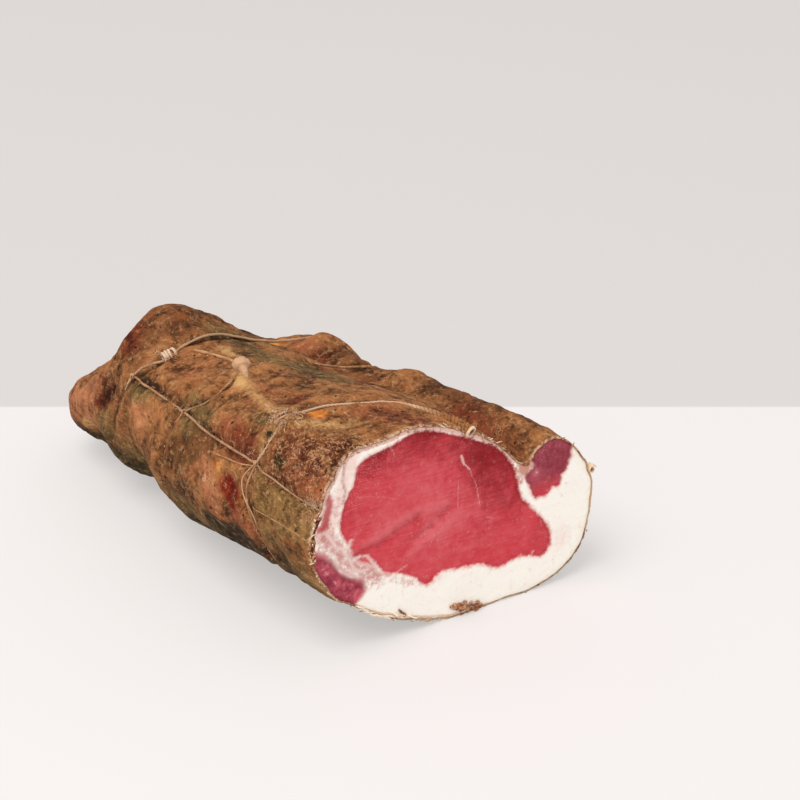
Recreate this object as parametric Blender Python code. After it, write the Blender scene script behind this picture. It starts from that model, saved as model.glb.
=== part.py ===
"""Half of a cured pork loin: a casing tied with twine round fat and three muscles that show at the cut.

Sizes are in millimetres and become metres when a mesh is made. While the shapes are worked out, x is 0 at
the cut and falls towards the far end, y crosses the loin from its left flank, and z is up from the surface
that the loin lies on. At the end an empty carries every piece to where the origin is under the middle.
"""

import bmesh
import bpy
import numpy as np
from mathutils import Vector
from mathutils.bvhtree import BVHTree

MM = 0.001
GAP = 0.3               # air between neighbouring pieces

# The loin
LENGTH = 195.0
WIDTH = 112.0
HEIGHT = 74.0
SKIN = 1.2              # thickness of the casing
AROUND = 42             # points round each ring
RINGS = 25              # rings from the cut to the far end
END_CROWDING = 1.45     # how much closer the rings stand at the far end
BEND_WEIGHT = 2.2       # how much closer the points stand where the outline bends
FINE_PER_SPAN = 40      # points read from each span of the outline before that spacing
FINE_AROUND = 900
BEND_WINDOW = 15        # points over which a bend is measured
CUT_OUTLINE = (
    (0, 42), (2, 33), (8, 23), (17, 15.5), (30, 8), (44, 3), (58, 0), (74, 0), (90, 1), (101, 5.5), (109, 14),
    (112, 27), (111.5, 37), (107, 46), (101, 53), (94, 56), (88.5, 53.5), (84.5, 49), (80, 51), (73, 59),
    (63, 65), (51, 71), (39, HEIGHT), (27, 72.5), (15, 71.5), (7.5, 64), (3, 53),
)
# Distance behind the cut, lowest and highest y, highest z, and how much of the cut's own outline is left
STATIONS = (
    (0, 0, WIDTH, HEIGHT, 1.0),
    (12, -2.5, 112, 74.5, 0.97),
    (35, -4, 111, 73.5, 0.85),
    (65, -4, 107, 68.5, 0.75),
    (95, -4.5, 100, 65, 0.70),
    (120, -3, 94, 63.5, 0.62),
    (145, -1, 83, 65.5, 0.40),
    (170, 1, 68, 64, 0.15),
    (LENGTH, 3, 52, 58, 0.0),
)
SETTLING = 0.6          # how far the belly has flattened on what it lies on
MIDDLE = (0.46, 0.40)   # centre of every ring, as a share of its box
SOFT_POWER = 2.45       # squareness of the rings far from the cut
CAP = 40.0              # length over which the far end closes
CAP_POWER = 2.2
SLANT = 0.95            # the far end's upper half is set back towards the cut
SLANT_FROM, SLANT_TO, SLANT_ABOVE = 140.0, 190.0, 26.0
# Swellings and hollows: where, how high, reach along and across the surface
BUMPS = (
    ((-122, 86, 48), 6.6, 14, 17),
    ((-90, 98, 38), -3.0, 16, 14),
    ((-188, 6, 19), 5.0, 13, 16),
    ((-158, 4, 12), -8.0, 8, 13),
    ((-172, 11, 7), -3.6, 9, 10),
    ((-119, 0, 12), -7.5, 10, 22),
    ((-90, 0, 10), 2.0, 14, 16),
    ((-52, -4, 30), 1.3, 10, 12),
    ((-78, -4, 40), 1.2, 9, 10),
    ((-22, -2, 38), -1.2, 12, 14),
    ((-104, 0, 44), -1.6, 12, 11),
    ((-142, 0, 43), -2.6, 7, 8),
    ((-170, 8, 26), 1.6, 9, 10),
    ((-66, 24, 68), 1.2, 12, 12),
    ((-18, 22, 72), -1.0, 10, 12),
    ((-60, 108, 30), 1.5, 16, 18),
    ((-105, 98, 22), -1.6, 12, 16),
    ((-150, 70, 30), 1.8, 14, 16),
    ((-145, 30, 67), 5.0, 10, 14),
    ((-164, 17, 50), -6.0, 8, 12),
    ((-152, 8, 55), -2.6, 8, 8),
    ((-137, 64, 53), -4.6, 12, 11),
    ((-149, 72, 48), -2.2, 8, 9),
    ((-190, 14, 44), -2.5, 14, 16),
    ((-76, 90, 50), 3.4, 16, 12),
    ((-34, 14, 12), -2.2, 24, 12),
    ((-134, 14, 10), -2.5, 9, 14),
    ((-98, 3, 22), -2.6, 9, 14),
)

# The muscles, as outlines on the cut
EYE_OUTLINE = (
    (30, 69), (40, 71.5), (50, 68.5), (61, 63.5), (70, 58), (76, 51), (78.5, 44), (81, 37), (88, 30),
    (94, 22), (94.5, 15), (90, 12.5), (82, 15), (73, 13.5), (65, 17), (56, 18), (50, 19), (44, 15.5),
    (39, 20), (33, 23.5), (28, 24.5), (24, 29), (17, 33), (14, 39), (11, 45), (12, 53), (16, 60), (19, 67),
)
LOBE_OUTLINE = (
    (99, 60), (103, 54), (102, 45), (98.5, 37.5), (93, 35.5), (87.5, 37), (84.5, 44), (88.5, 46), (86.5, 51),
    (90, 57), (94, 61),
)
CORNER_OUTLINE = (
    (-5, 40), (3, 39.5), (7, 36), (13, 29), (19, 25), (19.5, 20.5), (12, 15), (3, 18), (-6, 30),
)
BLANK_STEPS = 7         # cross-sections of a muscle's blank
BLANK_PER_SPAN = 12     # points read from each span of its outline
BLANK_CLOSING = 6       # how suddenly it narrows near its far end
BLANK_END = 0.5         # its size there, as a share of its size at the cut
OVERHANG = 6.0          # how far the muscles' blanks pass the cut before they are trimmed
MEMBRANE = 1.5          # least fat between the eye and the casing behind the cut
EYE_LENGTH = 186.0
LOBE_LENGTH = 92.0
CORNER_LENGTH = 128.0

# The twine
TWINE_RADIUS = 0.65
TWINE_SIDES = 6
FIRST_SIDE = (0.3, 0.2, 1.0)    # no strand starts along this way
TWINE_STEP = 5.5        # distance between the points of a strand
TWINE_LIFT = TWINE_RADIUS + 0.45    # least height of a strand's centre above the casing
STRAND_PER_SPAN = 12    # points read from each span of a strand's curve
NORMAL_ROUNDS = 6       # smoothing of the ways out of the casing
TAUT_ROUNDS = 60        # pulling taut
LIFT_ROUNDS = 40        # lifting clear of the casing's facets
EASING = 0.6            # share of each correction that one round makes
SPAN_SAMPLES = (0.0, 0.25, 0.5, 0.75)
CUT_REACH = 1.0         # strands end square to the cut within this distance of it
GROOVE_DEPTH = 2.3      # room for the twine between the belly and the surface below it
GROOVE_HALF_WIDTH = 7.5
BELLY_X = (-31.0, -92.0, -133.0)
# Points that each strand is laid through, on the casing
STRANDS = {
    "lengthwise": ((-0.5, 4.5, 58), (-22, 1, 57), (-36, 1, 57), (-52, 1, 56), (-70, 2, 55), (-88, 3, 56),
                   (-113, 4, 56), (-127, 3, 54)),
    "front_upper": ((-36, 1, 57), (-33, 5, 64), (-34, 12, 70), (-36, 18, 71), (-34, 28, 73), (-27, 37, 74),
                    (-22, 47, 72), (-11, 56, 68), (-0.5, 62.5, 66)),
    "front_lower": ((-36, 1, 57), (-36, -3, 47), (-31, -4, 40), (-29, -1, 30), (BELLY_X[0], 20, 11),
                    (BELLY_X[0], 44, 2), (BELLY_X[0], 66, 2), (BELLY_X[0], 90, 3), (-27, 106, 14),
                    (-16, 111, 27), (-0.5, 110, 39)),
    "middle": ((-88, 3, 56), (-80, 8, 62), (-81, 17, 65), (-88, 27, 66), (-94, 44, 64), (-97, 62, 58),
               (-98, 84, 51), (-97, 98, 38), (-95, 100, 24), (BELLY_X[1], 86, 3), (BELLY_X[1], 64, 2),
               (BELLY_X[1], 40, 3), (BELLY_X[1], 16, 12), (-93, -3, 28), (-92, -3, 44)),
    "far": ((-127, 3, 54), (-122, 9, 61), (-123, 15, 64), (-122, 23, 65), (-121, 33, 66), (-122, 45, 64),
            (-124, 62, 57), (-128, 84, 48), (-131, 90, 36), (-133, 88, 20), (BELLY_X[2], 74, 3),
            (BELLY_X[2], 52, 2), (BELLY_X[2], 32, 4), (-135, 8, 14), (-136, 0, 28), (-133, 1, 42)),
    "front_link": ((-34, 12, 70), (-40, 13, 70), (-58, 16, 68), (-75, 21, 66), (-88, 27, 66)),
    "far_link": ((-88, 27, 66), (-99, 29, 66), (-112, 26, 66), (-122, 23, 65)),
}
CLOSED_STRANDS = ("middle", "far")
# Knots and crossings: where, and radius
KNOTS = (
    ((-36, 1, 57), 1.7), ((-88, 3, 56), 1.7), ((-127, 3, 54), 1.7), ((-34, 12, 70), 2.3),
    ((-88, 27, 66), 2.6), ((-123, 15, 64), 2.2), ((-128, 84, 48), 1.9),
)
# Strands that swell to a cut end: radius there, and the length over which they swell
SWOLLEN_ENDS = {"front_upper": (1.35, 26.0), "front_lower": (1.3, 7.0)}

# Colour, roughness
FINISHES = {
    "casing": ((0.26, 0.13, 0.06), 0.60),
    "fat": ((0.93, 0.84, 0.74), 0.45),
    "lean_eye": ((0.55, 0.05, 0.07), 0.40),
    "lean_lobe": ((0.28, 0.03, 0.05), 0.40),
    "lean_corner": ((0.34, 0.03, 0.06), 0.40),
    "twine": ((0.62, 0.42, 0.27), 0.80),
}


def smoothstep(t):
    """Ease from 0 to 1."""
    t = np.clip(t, 0, 1)
    return t * t * (3 - 2 * t)


def station_value(back, column):
    """One column of STATIONS at a distance behind the cut, by a smooth cubic."""
    places = np.array([row[0] for row in STATIONS], float)
    values = np.array([row[column] for row in STATIONS], float)
    slopes = np.gradient(values, places)
    back = np.clip(back, 0, places[-1])
    i = np.clip(np.searchsorted(places, back, side="right") - 1, 0, len(places) - 2)
    span = places[i + 1] - places[i]
    t = (back - places[i]) / span
    return ((2 * t**3 - 3 * t**2 + 1) * values[i] + (t**3 - 2 * t**2 + t) * span * slopes[i]
            + (3 * t**2 - 2 * t**3) * values[i + 1] + (t**3 - t**2) * span * slopes[i + 1])


def smooth_curve(points, per_span, closed):
    """Points read from a Catmull-Rom curve through the given ones."""
    points = np.asarray(points, float)
    if closed:
        before, here, after, beyond = (np.roll(points, shift, 0) for shift in (1, 0, -1, -2))
    else:
        ends = np.vstack([2 * points[0] - points[1], points, 2 * points[-1] - points[-2]])
        before, here, after, beyond = ends[:-3], ends[1:-2], ends[2:-1], ends[3:]
    t = (np.arange(per_span) / per_span)[None, :, None]
    before, here, after, beyond = (p[:, None, :] for p in (before, here, after, beyond))
    curve = 0.5 * (2 * here + (after - before) * t + (2 * before - 5 * here + 4 * after - beyond) * t**2
                   + (3 * here - before - 3 * after + beyond) * t**3)
    curve = curve.reshape(-1, points.shape[1])
    return curve if closed else np.vstack([curve, points[-1]])


def respaced(curve, count, closed, weights=None):
    """The curve with evenly spaced points, or spaced by a weight on each of its spans."""
    path = np.vstack([curve, curve[:1]]) if closed else curve
    steps = np.linalg.norm(np.diff(path, axis=0), axis=1)
    if weights is not None:
        steps = steps * weights
    run = np.concatenate([[0], np.cumsum(steps)])
    stops = np.linspace(0, run[-1], count, endpoint=not closed)
    return np.stack([np.interp(stops, run, path[:, k]) for k in range(path.shape[1])], axis=1)


def cut_loop():
    """The cut's outline in AROUND points, closer together where it bends."""
    fine = respaced(smooth_curve(CUT_OUTLINE, FINE_PER_SPAN, True), FINE_AROUND, True)
    ahead = np.roll(fine, -1, 0) - fine
    heading = np.arctan2(ahead[:, 1], ahead[:, 0])
    turn = np.roll(heading, -BEND_WINDOW) - heading
    bend = np.abs((turn + np.pi) % (2 * np.pi) - np.pi)
    window = np.ones(BEND_WINDOW) / BEND_WINDOW
    bend = np.convolve(np.tile(bend, 3), window, "same")[len(bend):2 * len(bend)]
    return respaced(fine, AROUND, True, 1 + BEND_WEIGHT * bend)


def ring_outlines():
    """The cut's own outline and the soft one of the far rings, both in a box of 1 by 1."""
    sharp = cut_loop()
    low, high = sharp.min(0), sharp.max(0)
    sharp = (sharp - low) / (high - low)
    middle = np.array(MIDDLE)
    rounded = sharp
    for _ in range(AROUND):
        rounded = 0.5 * rounded + 0.25 * (np.roll(rounded, 1, 0) + np.roll(rounded, -1, 0))
    rounded = (rounded - rounded.min(0)) / (rounded.max(0) - rounded.min(0))
    away = rounded - middle
    angle = np.arctan2(away[:, 1], away[:, 0])
    aim = np.stack([np.cos(angle), np.sin(angle)], axis=1)
    half = np.where(aim > 0, 1 - middle, middle)
    reach = (np.abs(aim / half)**SOFT_POWER).sum(1)**(-1 / SOFT_POWER)
    return sharp, middle + aim * reach[:, None]


def ring_places():
    """Distances of the rings behind the cut, with one ring exactly on each groove of the belly."""
    share = np.linspace(0, 1, RINGS)
    places = LENGTH * (1 - (1 - share)**END_CROWDING)
    for x in BELLY_X:
        places[np.argmin(np.abs(places + x))] = -x
    return places


def to_station(y, z, back):
    """A point of the cut's plane, moved and scaled with the loin's box at a distance behind the cut."""
    low, high, top = (station_value(back, column) for column in (1, 2, 3))
    return low + y / WIDTH * (high - low), z / HEIGHT * top


def surface_normals(rings):
    """Outward normals of a grid of rings."""
    along = np.gradient(rings, axis=0)
    around = np.roll(rings, -1, 1) - np.roll(rings, 1, 1)
    normals = np.cross(along, around)
    normals[0, :, 0] = 0
    normals[-1] = (-1, 0, 0)
    return normals / np.maximum(np.linalg.norm(normals, axis=2, keepdims=True), 1e-9)


def belly_floor(x):
    """Least height of the casing, raised in a groove where the twine passes below."""
    nearest = np.min([np.abs(x - belly) for belly in BELLY_X], axis=0)
    return GROOVE_DEPTH * np.maximum(0, 1 - nearest / GROOVE_HALF_WIDTH)


def loin_rings():
    """The loin's outer surface as rings of points; the last ring is one point, where the far end closes."""
    sharp, soft = ring_outlines()
    middle = np.array(MIDDLE)
    rings = np.zeros((RINGS, AROUND, 3))
    for ring, back in zip(rings, ring_places()):
        share = station_value(back, 4)
        closing = max(0.0, (back - (LENGTH - CAP)) / CAP)
        size = (1 - min(closing, 1.0)**CAP_POWER)**(1 / CAP_POWER)
        shape = middle + (share * sharp + (1 - share) * soft - middle) * size
        y, z = to_station(shape[:, 0] * WIDTH, shape[:, 1] * HEIGHT, back)
        ring[:] = np.stack([np.full(AROUND, -back), y, z], axis=1)
    slant = smoothstep((-rings[..., 0] - SLANT_FROM) / (SLANT_TO - SLANT_FROM))
    rings[..., 0] += SLANT * slant * np.maximum(0, rings[..., 2] - SLANT_ABOVE)
    height = np.zeros(rings.shape[:2])
    for place, rise, along, across in BUMPS:
        away = rings - np.array(place)
        height += rise * np.exp(-(away[..., 0] / along)**2 - (away[..., 1]**2 + away[..., 2]**2) / across**2)
    rings = rings + surface_normals(rings) * height[..., None]
    rings[..., 2] = np.maximum(rings[..., 2] - SETTLING, belly_floor(rings[..., 0]))
    return rings


def inset(rings, depth):
    """The same grid, moved inwards; the first ring stays in the cut's plane."""
    return rings - surface_normals(rings) * depth


def grid_triangles(first, inward=False):
    """Triangles between rings whose points start at an index, closed by a fan at the far end."""
    triangles = []
    pole = first + (RINGS - 1) * AROUND
    for i in range(RINGS - 1):
        for j in range(AROUND):
            here, beside = first + i * AROUND + j, first + i * AROUND + (j + 1) % AROUND
            if i == RINGS - 2:
                triangles.append((here, beside, pole))
            else:
                triangles += [(here, beside, beside + AROUND), (here, beside + AROUND, here + AROUND)]
    return [t if inward else t[::-1] for t in triangles]


def grid_points(rings):
    """The points of a grid of rings, with its last ring as one point."""
    return np.vstack([rings[:-1].reshape(-1, 3), rings[-1].mean(0)])


def add_piece(name, points, faces, cutter=False):
    """An object made of points in millimetres, with its faces turned outwards."""
    mesh = bpy.data.meshes.new(name)
    mesh.from_pydata([tuple(p) for p in np.asarray(points) * MM], [], [tuple(f) for f in faces])
    tidy = bmesh.new()
    tidy.from_mesh(mesh)
    bmesh.ops.recalc_face_normals(tidy, faces=tidy.faces)
    if tidy.calc_volume(signed=True) < 0:
        bmesh.ops.reverse_faces(tidy, faces=tidy.faces)
    bmesh.ops.triangulate(tidy, faces=tidy.faces)
    tidy.to_mesh(mesh)
    tidy.free()
    piece = bpy.data.objects.new(name, mesh)
    bpy.context.collection.objects.link(piece)
    if cutter:
        piece.hide_render = True
        piece.display_type = "WIRE"
    return piece


def cut_by(piece, other, operation):
    """Join, trim or cut a piece by another one."""
    modifier = piece.modifiers.new(operation.lower(), "BOOLEAN")
    modifier.operation = operation
    modifier.object = other


def filled_loin(name, rings, cutter=False):
    """A closed body inside the given rings, flat at the cut."""
    return add_piece(name, grid_points(rings), grid_triangles(0) + [tuple(range(AROUND))], cutter)


def casing(rings):
    """The skin round the loin, open at the cut and closed at the far end."""
    inner = inset(rings, SKIN)
    points = np.vstack([grid_points(rings), grid_points(inner)])
    first = len(grid_points(rings))
    rim = [(j, (j + 1) % AROUND, first + (j + 1) % AROUND, first + j) for j in range(AROUND)]
    return add_piece("casing", points, grid_triangles(0) + grid_triangles(first, inward=True) + rim)


def widened(outline, width):
    """A closed outline, anticlockwise or not, moved outwards by a width."""
    ahead = np.roll(outline, -1, 0) - np.roll(outline, 1, 0)
    outward = np.stack([ahead[:, 1], -ahead[:, 0]], axis=1)
    outward /= np.linalg.norm(outward, axis=1, keepdims=True)
    x, y = outline.T
    turn = np.sign(np.sum(x * np.roll(y, -1) - np.roll(x, -1) * y))
    return outline + outward * width * turn


def muscle_blank(name, outline, points_around, length, width=0.0):
    """A muscle as a column from beyond the cut, which tapers with the loin and closes near the far end."""
    loop = respaced(smooth_curve(outline, BLANK_PER_SPAN, True), points_around, True)
    loop = widened(loop, width) if width else loop
    centre = loop.mean(0)
    places = [-OVERHANG, *np.linspace(0, length + width, BLANK_STEPS)]
    points = []
    for back in places:
        closing = np.clip(back / (length + width), 0, 1)**BLANK_CLOSING
        size = np.sqrt(1 - (1 - BLANK_END**2) * closing)
        y, z = to_station(*(centre + (loop - centre) * size).T, max(back, 0))
        points.append(np.stack([np.full(points_around, -back), y, z], axis=1))
    count = len(places)
    faces = [(i * points_around + j, i * points_around + (j + 1) % points_around,
              (i + 1) * points_around + (j + 1) % points_around, (i + 1) * points_around + j)
             for i in range(count - 1) for j in range(points_around)]
    faces += [tuple(range(points_around)), tuple(range((count - 1) * points_around, count * points_around))]
    return add_piece(name, np.vstack(points), faces, cutter=width > 0)


def muscle(name, outline, points_around, length, body, wide_body):
    """A muscle trimmed to a body, and the wider shape that it leaves in the fat."""
    piece = muscle_blank(name, outline, points_around, length)
    hollow = muscle_blank(name + "_hollow", outline, points_around, length, GAP)
    cut_by(piece, body, "INTERSECT")
    cut_by(hollow, wide_body, "INTERSECT")
    return piece, hollow


class Casing:
    """The casing's surface, for laying twine on it."""

    def __init__(self, rings):
        self.tree = BVHTree.FromPolygons([Vector(p) for p in grid_points(rings)], grid_triangles(0))

    def nearest(self, point):
        """Nearest place on the casing, and the way out of it there."""
        place, normal, _, _ = self.tree.find_nearest(Vector(point))
        return np.array(place), np.array(normal)

    def clearance(self, point):
        """Distance to the casing, negative inside it."""
        place, normal, _, distance = self.tree.find_nearest(Vector(point))
        return distance if (Vector(point) - place).dot(normal) >= 0 else -distance


def footing(points, closed, surface):
    """Evenly spaced places of a strand on the casing, and smoothed ways out of it."""
    curve = smooth_curve([surface.nearest(p)[0] for p in points], STRAND_PER_SPAN, closed)
    length = np.linalg.norm(np.diff(curve, axis=0), axis=1).sum()
    curve = respaced(curve, int(length / TWINE_STEP), closed)
    base, outward = (np.array(column) for column in zip(*(surface.nearest(p) for p in curve)))
    for _ in range(NORMAL_ROUNDS):
        before, after = np.roll(outward, 1, 0), np.roll(outward, -1, 0)
        if not closed:
            before[0], after[-1] = outward[0], outward[-1]
        outward = before + outward + after
        outward /= np.linalg.norm(outward, axis=1, keepdims=True)
    if not closed:
        at_cut = base[:, 0] > -CUT_REACH
        outward[at_cut, 0] = 0
        outward /= np.linalg.norm(outward, axis=1, keepdims=True)
    return base, outward


def strand_path(points, closed, surface):
    """The ways out of the casing along a strand, and its taut centre line, TWINE_LIFT or more above it."""
    base, outward = footing(points, closed, surface)
    count = len(base)
    height = np.full(count, TWINE_LIFT)
    for _ in range(TAUT_ROUNDS):
        path = base + outward * height[:, None]
        for i in range(0 if closed else 1, count if closed else count - 1):
            chord = (path[i - 1] + path[(i + 1) % count]) / 2 - base[i]
            taut = height[i] + EASING * (np.dot(chord, outward[i]) - height[i])
            height[i] = max(TWINE_LIFT, taut)
            path[i] = base[i] + outward[i] * height[i]
    for _ in range(LIFT_ROUNDS):
        path = base + outward * height[:, None]
        for i in range(count if closed else count - 1):
            k = (i + 1) % count
            lowest = min(surface.clearance(path[i] + (path[k] - path[i]) * t) for t in SPAN_SAMPLES)
            height[[i, k]] += EASING * max(0, TWINE_LIFT - lowest)
    return outward, base + outward * height[:, None]


def strand_radii(name, path):
    """A strand's radius at each point of its centre line."""
    if name not in SWOLLEN_ENDS:
        return np.full(len(path), TWINE_RADIUS)
    end_radius, reach = SWOLLEN_ENDS[name]
    to_end = np.linalg.norm(path - path[-1], axis=1)
    return TWINE_RADIUS + (end_radius - TWINE_RADIUS) * smoothstep(1 - to_end / reach)


def tube(name, path, radii, closed):
    """A strand of twine round its centre line."""
    count = len(path)
    ahead = np.roll(path, -1, 0) - np.roll(path, 1, 0)
    if not closed:
        ahead[0], ahead[-1] = path[1] - path[0], path[-1] - path[-2]
    ahead /= np.linalg.norm(ahead, axis=1, keepdims=True)
    side = np.cross(ahead[0], FIRST_SIDE)
    points = []
    for place, way, radius in zip(path, ahead, radii):
        side = side - way * np.dot(side, way)
        side /= np.linalg.norm(side)
        up = np.cross(way, side)
        for k in range(TWINE_SIDES):
            angle = 2 * np.pi * k / TWINE_SIDES
            points.append(place + radius * (np.cos(angle) * side + np.sin(angle) * up))
    points = np.array(points)
    shift = 0
    if closed:
        first, last = points[:TWINE_SIDES], points[-TWINE_SIDES:]
        shift = min(range(TWINE_SIDES), key=lambda s: np.linalg.norm(np.roll(first, -s, 0) - last))
    faces = []
    for i in range(count if closed else count - 1):
        following, turn = ((i + 1) % count) * TWINE_SIDES, shift if i == count - 1 else 0
        for k in range(TWINE_SIDES):
            beside = (k + 1) % TWINE_SIDES
            faces.append((i * TWINE_SIDES + k, i * TWINE_SIDES + beside,
                          following + (beside + turn) % TWINE_SIDES, following + (k + turn) % TWINE_SIDES))
    if not closed:
        faces += [tuple(range(TWINE_SIDES)), tuple(range((count - 1) * TWINE_SIDES, count * TWINE_SIDES))]
    return add_piece(name, points, faces)


def strand(name, surface):
    """One strand of twine, laid on the casing and lifted by as much as it swells."""
    closed = name in CLOSED_STRANDS
    outward, path = strand_path(STRANDS[name], closed, surface)
    radii = strand_radii(name, path)
    path = path + outward * (radii - TWINE_RADIUS)[:, None]
    return tube(name, path, radii, closed)


def knot(name, point, radius, surface):
    """A lump of twine on the casing."""
    place, normal = surface.nearest(point)
    centre = place + normal * (radius + 2 * GAP)
    ball = bmesh.new()
    bmesh.ops.create_icosphere(ball, subdivisions=1, radius=radius)
    points = [np.array(v.co) + centre for v in ball.verts]
    faces = [[v.index for v in f.verts] for f in ball.faces]
    ball.free()
    return add_piece(name, points, faces)


def twine(surface):
    """All the strands and knots, joined into one piece."""
    parts = [strand(name, surface) for name in STRANDS]
    parts += [knot("knot_%d" % i, point, radius, surface) for i, (point, radius) in enumerate(KNOTS)]
    whole, rest = parts[0], bpy.data.collections.new("strands")
    bpy.context.scene.collection.children.link(rest)
    for part in parts[1:]:
        bpy.context.collection.objects.unlink(part)
        rest.objects.link(part)
    union = whole.modifiers.new("union", "BOOLEAN")
    union.operation = "UNION"
    union.operand_type = "COLLECTION"
    union.collection = rest
    joined = bpy.data.meshes.new_from_object(whole.evaluated_get(bpy.context.evaluated_depsgraph_get()))
    whole.modifiers.clear()
    whole.data = joined
    whole.name = "twine"
    for part in parts[1:]:
        bpy.data.objects.remove(part)
    bpy.data.collections.remove(rest)
    return whole


def finish(piece):
    """Give a piece its material."""
    colour, roughness = FINISHES[piece.name]
    material = bpy.data.materials.new(piece.name)
    material.use_nodes = True
    shader = material.node_tree.nodes["Principled BSDF"]
    shader.inputs["Base Color"].default_value = (*colour, 1)
    shader.inputs["Roughness"].default_value = roughness
    piece.data.materials.clear()
    piece.data.materials.append(material)


def main():
    """Build every piece and stand the whole on its origin."""
    for old in list(bpy.data.objects):
        bpy.data.objects.remove(old)
    rings = loin_rings()
    inside = SKIN + GAP
    meat = filled_loin("meat", inset(rings, inside), cutter=True)
    core = filled_loin("core", inset(rings, inside + MEMBRANE), cutter=True)
    wide_core = filled_loin("wide_core", inset(rings, inside + MEMBRANE - GAP), cutter=True)
    fat = filled_loin("fat", inset(rings, inside))
    over_meat = filled_loin("over_meat", inset(rings, GAP), cutter=True)
    muscles = (
        ("lean_eye", EYE_OUTLINE, 38, EYE_LENGTH, core, wide_core),
        ("lean_lobe", LOBE_OUTLINE, 16, LOBE_LENGTH, meat, over_meat),
        ("lean_corner", CORNER_OUTLINE, 14, CORNER_LENGTH, meat, over_meat),
    )
    pieces = [casing(rings), fat]
    for name, outline, points_around, length, body, wide_body in muscles:
        piece, hollow = muscle(name, outline, points_around, length, body, wide_body)
        cut_by(fat, hollow, "DIFFERENCE")
        pieces.append(piece)
    pieces.append(twine(Casing(rings)))
    for piece in pieces:
        finish(piece)
    stand = bpy.data.objects.new("loin", None)
    bpy.context.collection.objects.link(stand)
    outer = grid_points(rings) * MM
    middle = (outer.min(0) + outer.max(0)) / 2
    stand.location = (-middle[0], -middle[1], 0)
    for thing in list(bpy.context.collection.objects):
        if thing is not stand:
            thing.parent = stand


main()
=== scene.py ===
"""The looks of half a cured pork loin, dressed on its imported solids.

Everything is shaped in millimetres in the loin's own space: x is 0 at the cut and falls towards the far
end, y crosses the loin from its left flank, and z is up from the surface that it lies on. LoinSpace turns
that into metres in the frame when a piece is finished.
"""

import logging
import math
import random
from collections.abc import Callable, Iterable, Sequence
from dataclasses import dataclass, field
from enum import Enum

import bmesh
import bpy
import numpy as np
from bmesh.types import BMEdge, BMesh, BMVert
from bpy.types import Curve, Material, Mesh, Object
from mathutils import Matrix, Vector, noise
from mathutils.bvhtree import BVHTree
from mathutils.kdtree import KDTree


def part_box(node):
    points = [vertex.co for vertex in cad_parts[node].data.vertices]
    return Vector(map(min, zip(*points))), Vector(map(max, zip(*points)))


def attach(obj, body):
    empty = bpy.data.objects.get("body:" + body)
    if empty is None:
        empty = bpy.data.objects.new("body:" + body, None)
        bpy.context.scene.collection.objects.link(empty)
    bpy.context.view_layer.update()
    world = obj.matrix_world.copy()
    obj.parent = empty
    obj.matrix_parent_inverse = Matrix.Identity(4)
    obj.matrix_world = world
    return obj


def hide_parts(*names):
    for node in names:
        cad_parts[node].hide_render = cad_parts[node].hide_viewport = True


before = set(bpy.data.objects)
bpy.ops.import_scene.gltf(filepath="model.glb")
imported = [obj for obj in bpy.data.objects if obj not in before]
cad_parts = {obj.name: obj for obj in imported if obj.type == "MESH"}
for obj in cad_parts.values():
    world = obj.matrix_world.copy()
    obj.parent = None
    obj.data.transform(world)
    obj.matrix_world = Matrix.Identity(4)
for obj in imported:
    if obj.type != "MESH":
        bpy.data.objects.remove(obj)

log = logging.getLogger("loin")

MM = 0.001
BODY = "root"
FLANK_BULGE = 5.123      # how far the left flank swells past the cut's own left edge
Array = np.ndarray
Point = tuple[float, float, float]
Place = tuple[float, float]
Colour = tuple[float, float, float, float]
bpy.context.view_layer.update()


class Slot(Enum):
    """Names of the material slots."""

    CASING = "casing"
    FAT = "fat"
    LEAN = "lean"
    DARK_LEAN = "dark_lean"
    TWINE = "twine"


# Knots and crossings, and the points that each strand is laid through, on the casing
FRONT_CROSSING = (-36, 1, 57)
MIDDLE_CROSSING = (-88, 3, 56)
FAR_CROSSING = (-127, 3, 54)
FRONT_TANGLE = (-34, 12, 70)
MIDDLE_BALL = (-88, 27, 66)
FAR_WRAPS = (-123, 15, 64)
BACK_KNOT = (-128, 84, 48)


@dataclass(frozen=True)
class LoinSpace:
    """Where the loin's own space lies in the frame.

    Attributes:
        cut: frame x of the cut, mm.
        flank: frame y of the cut's left edge, mm.
    """

    cut: float
    flank: float

    @classmethod
    def of_frame(cls) -> "LoinSpace":
        """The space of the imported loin."""
        low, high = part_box("casing")
        return cls(high.x / MM, low.y / MM + FLANK_BULGE)

    def to_frame(self) -> Matrix:
        """Turns the loin's millimetres into the frame's metres."""
        return Matrix.Scale(MM, 4) @ Matrix.Translation((self.cut, self.flank, 0.0))

    def place(self, point: Sequence[float]) -> Vector:
        """A point of the loin in the frame."""
        return self.to_frame() @ Vector(point)

    def solid(self, node: str) -> BMesh:
        """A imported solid's mesh, merged, in the loin's space.

        Args:
            node: the solid's node.

        Returns:
            A new bmesh.
        """
        bm = bmesh.new()
        bm.from_mesh(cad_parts[node].data)
        bmesh.ops.transform(bm, matrix=self.to_frame().inverted(), verts=bm.verts)
        bmesh.ops.remove_doubles(bm, verts=bm.verts, dist=WELD)
        return bm


SPACE = LoinSpace.of_frame()
WELD = 0.001            # points closer than this are one


# Curves and distances


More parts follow.
